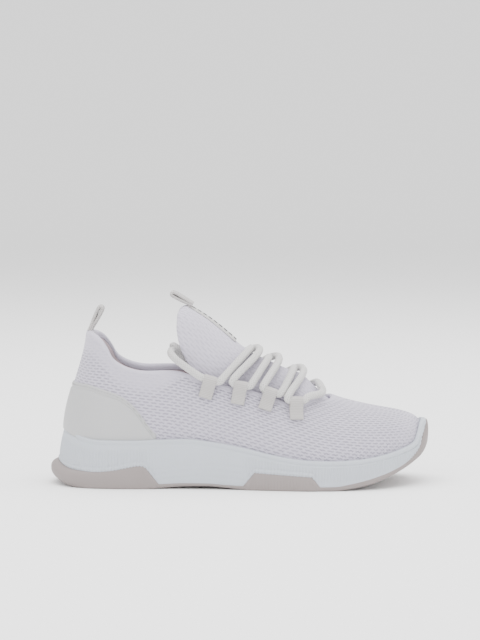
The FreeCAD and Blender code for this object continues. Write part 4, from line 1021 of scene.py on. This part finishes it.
class LoopSeat:
    """Where a lace loop sits on a quarter: surface point and axes (forward, outward, upward)."""

    def __init__(self, x, side):
        place = next(i for i in range(len(SIDE_XS) - 1) if SIDE_XS[i + 1] <= x)
        share = (SIDE_XS[place] - x) / (SIDE_XS[place] - SIDE_XS[place + 1])
        last = QUARTER_COUNT - 1
        first, second = (place, place + 1) if side < 0 else (last - place, last - 1 - place)
        height = TOP_EDGE(x) - LOOP_DROP
        a, normal_a = self.seat(first, height)
        b, normal_b = self.seat(second, height)
        self.point = a * (1.0 - share) + b * share
        self.outward = unit(normal_a * (1.0 - share) + normal_b * share)
        forward = RING[first][-1] - RING[second][-1]
        self.forward = unit(forward - self.outward * forward.dot(self.outward))
        upward = np.cross(self.outward, self.forward) * (1.0 if side > 0 else -1.0)
        self.upward = upward if upward[2] > 0.0 else -upward
        radius = LACE_RADIUS + LACE_CLEARANCE + WEBBING_THICKNESS
        self.tunnel = self.point + self.outward * (LOOP_GAP + radius) + self.upward * (0.5 * LOOP_LEG + 1.0)

    @staticmethod
    def seat(column, height):
        """Surface point and normal of a coarse column at a height."""
        bite, top = RING[column][ROWS_BELOW][2], RING[column][-1][2]
        v = BITE_V + (1.0 - BITE_V) * (height - bite) / (top - bite)
        row = min(int(v * LAST_ROW), LAST_ROW - 1)
        share = v * LAST_ROW - row
        point = RING[column][row] * (1.0 - share) + RING[column][row + 1] * share
        normal = RING_NORMALS[column][row] * (1.0 - share) + RING_NORMALS[column][row + 1] * share
        return point, unit(normal)

    def ahead(self, distance):
        return self.tunnel + self.forward * distance


SEATS = {
    label: [LoopSeat(x, side) for x in LOOP_XS] for label, side in (("lateral", -1), ("medial", 1))
}


def tape(name, path, width, thickness, origin, axis_a, axis_b, across):
    """A webbing tape: a flat path in the plane of two axes, with rounded selvedges and a raised centre."""
    path = np.array(path, float)
    steps = np.concatenate(([0.0], np.cumsum(np.linalg.norm(np.diff(path, axis=0), axis=1))))
    fine = np.linspace(0.0, steps[-1], 90)
    curve = spline_matrix(steps, fine) @ path
    tangent = np.gradient(curve, axis=0)
    tangent /= np.linalg.norm(tangent, axis=1)[:, None]
    normal = np.stack([-tangent[:, 1], tangent[:, 0]], axis=1)
    shares = np.sin(np.linspace(-0.5, 0.5, 13) * math.pi)
    half = 0.5 * thickness * np.sqrt(np.clip(1.0 - np.abs(shares) ** 6, 0.0, 1.0)) + 0.03

    def face(sign):
        flat = curve[:, None, :] + sign * normal[:, None, :] * half[None, :, None]
        side = shares[None, :, None] * 0.5 * width * across
        return origin + flat[..., :1] * axis_a + flat[..., 1:] * axis_b + side

    uv = np.stack(np.broadcast_arrays(fine[:, None], shares[None, :] * 0.5 * width), axis=-1)
    return dress(sheet_solid(name, face(1.0), face(-1.0), uv=uv), "webbing")


def loop_path():
    """Front leg, fold round the lace and back leg of a lace loop, as (outward, upward)."""
    centre = (LOOP_GAP + LACE_RADIUS + LACE_CLEARANCE + WEBBING_THICKNESS, 0.5 * LOOP_LEG + 1.0)
    radius = LACE_RADIUS + LACE_CLEARANCE + 0.5 * WEBBING_THICKNESS
    front = [(2.3, -7.2), (2.5, -3.0), (3.6, 0.6), (5.6, 3.2)]
    fold = [
        (centre[0] + radius * math.cos(math.radians(a)), centre[1] + radius * math.sin(math.radians(a)))
        for a in (-28, 0, 30, 60, 90, 120, 150, 180)
    ]
    back = [(0.85, 3.5), (1.0, 0.0), (1.1, -3.4), (1.1, -7.2)]
    return front + fold + back


def lace_loops():
    for label, seats in SEATS.items():
        for i, seat in enumerate(seats, start=1):
            name = f"lace_loop_{label}_{i}"
            piece = tape(
                name + "_webbing", loop_path(), 10.4, WEBBING_THICKNESS, seat.point, seat.outward,
                seat.upward, seat.forward)
            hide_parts(name)
            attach(piece, "rearfoot")


TAB_LENGTH, TAB_WIDTH, TAB_THICKNESS = 19.0, 14.6, 2.7


def pull_tab(node_name, body, base, lean_deg, height, sewn):
    """A folded webbing tab: both ends are sewn in at the base and the fold stands off."""
    lean = math.radians(lean_deg)
    along = np.array([math.cos(lean), 0.0, math.sin(lean)])
    aside = np.array([-math.sin(lean), 0.0, math.cos(lean)])
    half = 0.5 * (height - 1.6)
    end = TAB_LENGTH - half - 0.6
    turns = [math.radians(a) for a in range(0, 181, 30)]
    fold = [(end + half * math.sin(turn), half * -math.cos(turn)) for turn in turns]
    path = [(-sewn, -0.65), (2.0, -0.75), (6.0, -0.8 * half), (10.5, -half)] + fold
    path += [(10.5, half), (6.0, 0.8 * half), (2.0, 0.75), (-sewn, 0.65)]
    across = np.array([0.0, 1.0, 0.0])
    piece = tape(
        node_name + "_webbing", path, TAB_WIDTH, TAB_THICKNESS, np.array(base), along, aside, across)
    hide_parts(node_name)
    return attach(piece, body)


# ---------------------------------------------------------------- lace
RIDGE_REAR = (8.4, 22.8, 42.2)
RIDGE_FRONT = (15.4, 30.8, 50.0)
BAR_X, LACE_LIFT, CROSS_LIFT = 61.0, 3.1, 2.4


def lace_corners():
    """Route of the lace, from the end tucked in on the lateral side to the medial one."""
    reach_out = 0.5 * WEBBING_WIDTH + 2.4
    lateral, medial = SEATS["lateral"], SEATS["medial"]

    def backwards(points):
        return list(reversed(points))

    def front(seat):
        corner = seat.ahead(reach_out)
        return [corner, corner + seat.forward * 2.0 + seat.upward * 3.9 + seat.outward * 0.6]

    def rear(seat):
        corner = seat.ahead(-reach_out)
        return [corner, corner + seat.upward * 4.2 + seat.outward * 2.4 + seat.forward * 0.4]

    def ridge(x, start_side, medial_lift=-3.0):
        z = RIDGE(x) + LACE_LIFT
        points = [np.array([x, -14.5, z]), np.array([x, 14.5, z + medial_lift])]
        return points if start_side < 0 else backwards(points)

    def lifted(seat, x):
        low = seat.ahead(reach_out)
        high = np.array([x, 14.5, RIDGE(x) + LACE_LIFT + CROSS_LIFT])
        return [low * 0.68 + high * 0.32 + (-1.0, 7.2, 4.8), low * 0.34 + high * 0.66 + (0.0, 5.2, 4.0)]

    def tucked(side, seat):
        out = seat.ahead(-reach_out)
        away = out - seat.forward * 5.0 + seat.upward * 1.5
        inside = [(-26, side * 14, 74), (-42, side * 14, 98), (-54, side * 19, 107), (-53, side * 32, 101.5)]
        return [np.array(p, float) for p in inside] + [away, out]

    bar_z = RIDGE(BAR_X) + LACE_LIFT + 0.4
    bar = [(BAR_X, 13.0, bar_z), (BAR_X + 1.5, -13.0, bar_z), (65.5, -20.5, 71.5)]
    bar = [np.array(point) for point in bar]
    stages = [
        tucked(-1, lateral[0]), front(lateral[0]),
        ridge(RIDGE_REAR[0], -1), backwards(rear(medial[1])), front(medial[1]),
        lifted(medial[1], RIDGE_FRONT[1]), ridge(RIDGE_FRONT[1], 1, CROSS_LIFT),
        backwards(rear(lateral[2])), front(lateral[2]),
        ridge(RIDGE_REAR[2], -1), backwards(rear(medial[3])), front(medial[3]),
        bar, backwards(front(lateral[3])), rear(lateral[3]),
        ridge(RIDGE_FRONT[2], -1, CROSS_LIFT), backwards(lifted(medial[2], RIDGE_FRONT[2])),
        backwards(front(medial[2])), rear(medial[2]),
        ridge(RIDGE_REAR[1], 1), backwards(front(lateral[1])), rear(lateral[1]),
        ridge(RIDGE_FRONT[0], -1, CROSS_LIFT), backwards(lifted(medial[0], RIDGE_FRONT[0])),
        backwards(front(medial[0])), backwards(tucked(1, medial[0])),
    ]
    return [corner for stage in stages for corner in stage]


def lace_line():
    """Points read from the route's smooth spline, in millimetres."""
    corners = lace_corners()
    curve = bpy.data.curves.new("lace_route", "CURVE")
    curve.dimensions = "3D"
    line = curve.splines.new("NURBS")
    line.points.add(len(corners) - 1)
    for point, corner in zip(line.points, corners):
        point.co = (*(float(c) * MM for c in corner), 1.0)
    line.order_u = 3
    line.use_endpoint_u = True
    line.resolution_u = 12
    holder = bpy.data.objects.new("lace_route", curve)
    bpy.context.collection.objects.link(holder)
    mesh = bpy.data.meshes.new_from_object(holder)
    points = np.array([vertex.co[:] for vertex in mesh.vertices]) / MM
    bpy.data.objects.remove(holder)
    bpy.data.meshes.remove(mesh)
    bpy.data.curves.remove(curve)
    return points


def lace():
    """The round lace, with lengthwise ribs that turn slowly along it."""
    radius = 2.85

    def section(angles, distance):
        ribbed = radius * (1.0 + 0.045 * np.cos(6.0 * angles + 0.05 * distance))
        return ribbed + 0.05 * math.sin(distance * 2.0)

    piece = dress(tube("lace_braided", lace_line(), section, 8.0), "lace")
    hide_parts("lace")
    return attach(piece, "rearfoot")


# ---------------------------------------------------------------- pieces that stay as they are
KEPT_NODES = {
    "aglet": ("aglet_lateral", "aglet_medial"),
    "board": ("strobel_board_rear", "strobel_board_toe", "heel_counter"),
    "padding": ("eyestay_lateral", "eyestay_medial"),
}


def dress_kept_nodes():
    for material, names in KEPT_NODES.items():
        for name in names:
            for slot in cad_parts[name].material_slots:
                slot.material = MATERIALS[material]


# ---------------------------------------------------------------- stage, light and camera
def plain_material(name, colour, roughness):
    material = bpy.data.materials.new(name)
    material.use_nodes = True
    shader = material.node_tree.nodes["Principled BSDF"]
    shader.inputs["Base Color"].default_value = (*colour, 1.0)
    shader.inputs["Roughness"].default_value = roughness
    shader.inputs["Specular IOR Level"].default_value = 0.0
    return material


def studio_floor():
    """A pale floor that curves up behind the object on every side."""
    reach_mm, bend_mm = 5200.0, 1600.0
    profile = [(0.0, 0.0), (reach_mm * 0.5, 0.0), (reach_mm, 0.0)]
    profile += [
        (reach_mm + bend_mm * math.sin(math.radians(a)), bend_mm * (1.0 - math.cos(math.radians(a))))
        for a in range(10, 91, 10)
    ]
    angles = np.linspace(0.0, 2.0 * math.pi, 72, endpoint=False)
    grid = np.array([[(r * math.cos(a), r * math.sin(a), z) for r, z in profile[1:]] for a in angles])
    index = np.arange(grid.shape[0] * grid.shape[1]).reshape(grid.shape[:2])
    faces = quad_list(np.vstack([index, index[:1]])).tolist() + [index[:, 0].tolist()]
    floor = finish_mesh("studio_floor", grid, faces)
    floor.data.materials.append(plain_material("studio_floor", (0.97, 0.97, 0.97), 0.95))


def area_light(name, place, target, size, power):
    data = bpy.data.lights.new(name, "AREA")
    data.shape = "RECTANGLE"
    data.size, data.size_y = size
    data.energy = power
    light = bpy.data.objects.new(name, data)
    light.location = place
    light.rotation_euler = (Vector(target) - Vector(place)).to_track_quat("-Z", "Y").to_euler()
    bpy.context.collection.objects.link(light)


def lights():
    world = bpy.data.worlds.new("studio")
    world.use_nodes = True
    world.node_tree.nodes["Background"].inputs["Color"].default_value = (1.0, 1.0, 1.0, 1.0)
    world.node_tree.nodes["Background"].inputs["Strength"].default_value = 1.5
    bpy.context.scene.world = world
    area_light("top", (0.1, 0.1, 1.9), (0.0, 0.0, 0.0), (2.4, 2.4), 75.0)
    area_light("key", (-0.9, -1.5, 1.3), (0.0, 0.0, 0.06), (1.4, 1.0), 15.0)
    area_light("fill", (1.4, -1.0, 0.7), (0.0, 0.0, 0.05), (1.2, 1.2), 7.0)


def camera():
    """The photograph's angle: level with the lateral side, a few degrees above."""
    data = bpy.data.cameras.new("camera")
    data.lens = 110.0
    target = Vector((0.0, -0.045, 0.1307))
    lean = math.radians(4.2)
    made = bpy.data.objects.new("camera", data)
    made.location = target + Vector((0.0, -math.cos(lean), math.sin(lean))) * 1.49
    made.rotation_euler = (target - made.location).to_track_quat("-Z", "Y").to_euler()
    bpy.context.collection.objects.link(made)
    bpy.context.scene.camera = made


camera()
lace()
studio_floor()
lights()
upper_knit()
lining()
collar_pad()
heel_panel()
midsole()
outsole()
insole()
tongue()
tongue_strip()
lace_loops()
pull_tab("heel_tab", "heel_pull", (-116.6, 0.0, 121.5), 64.0, 4.6, 2.5)
pull_tab("tongue_tab", "tongue_pull", (-37.2, 0.0, 139.9), 151.4, 4.4, 0.3)
dress_kept_nodes()
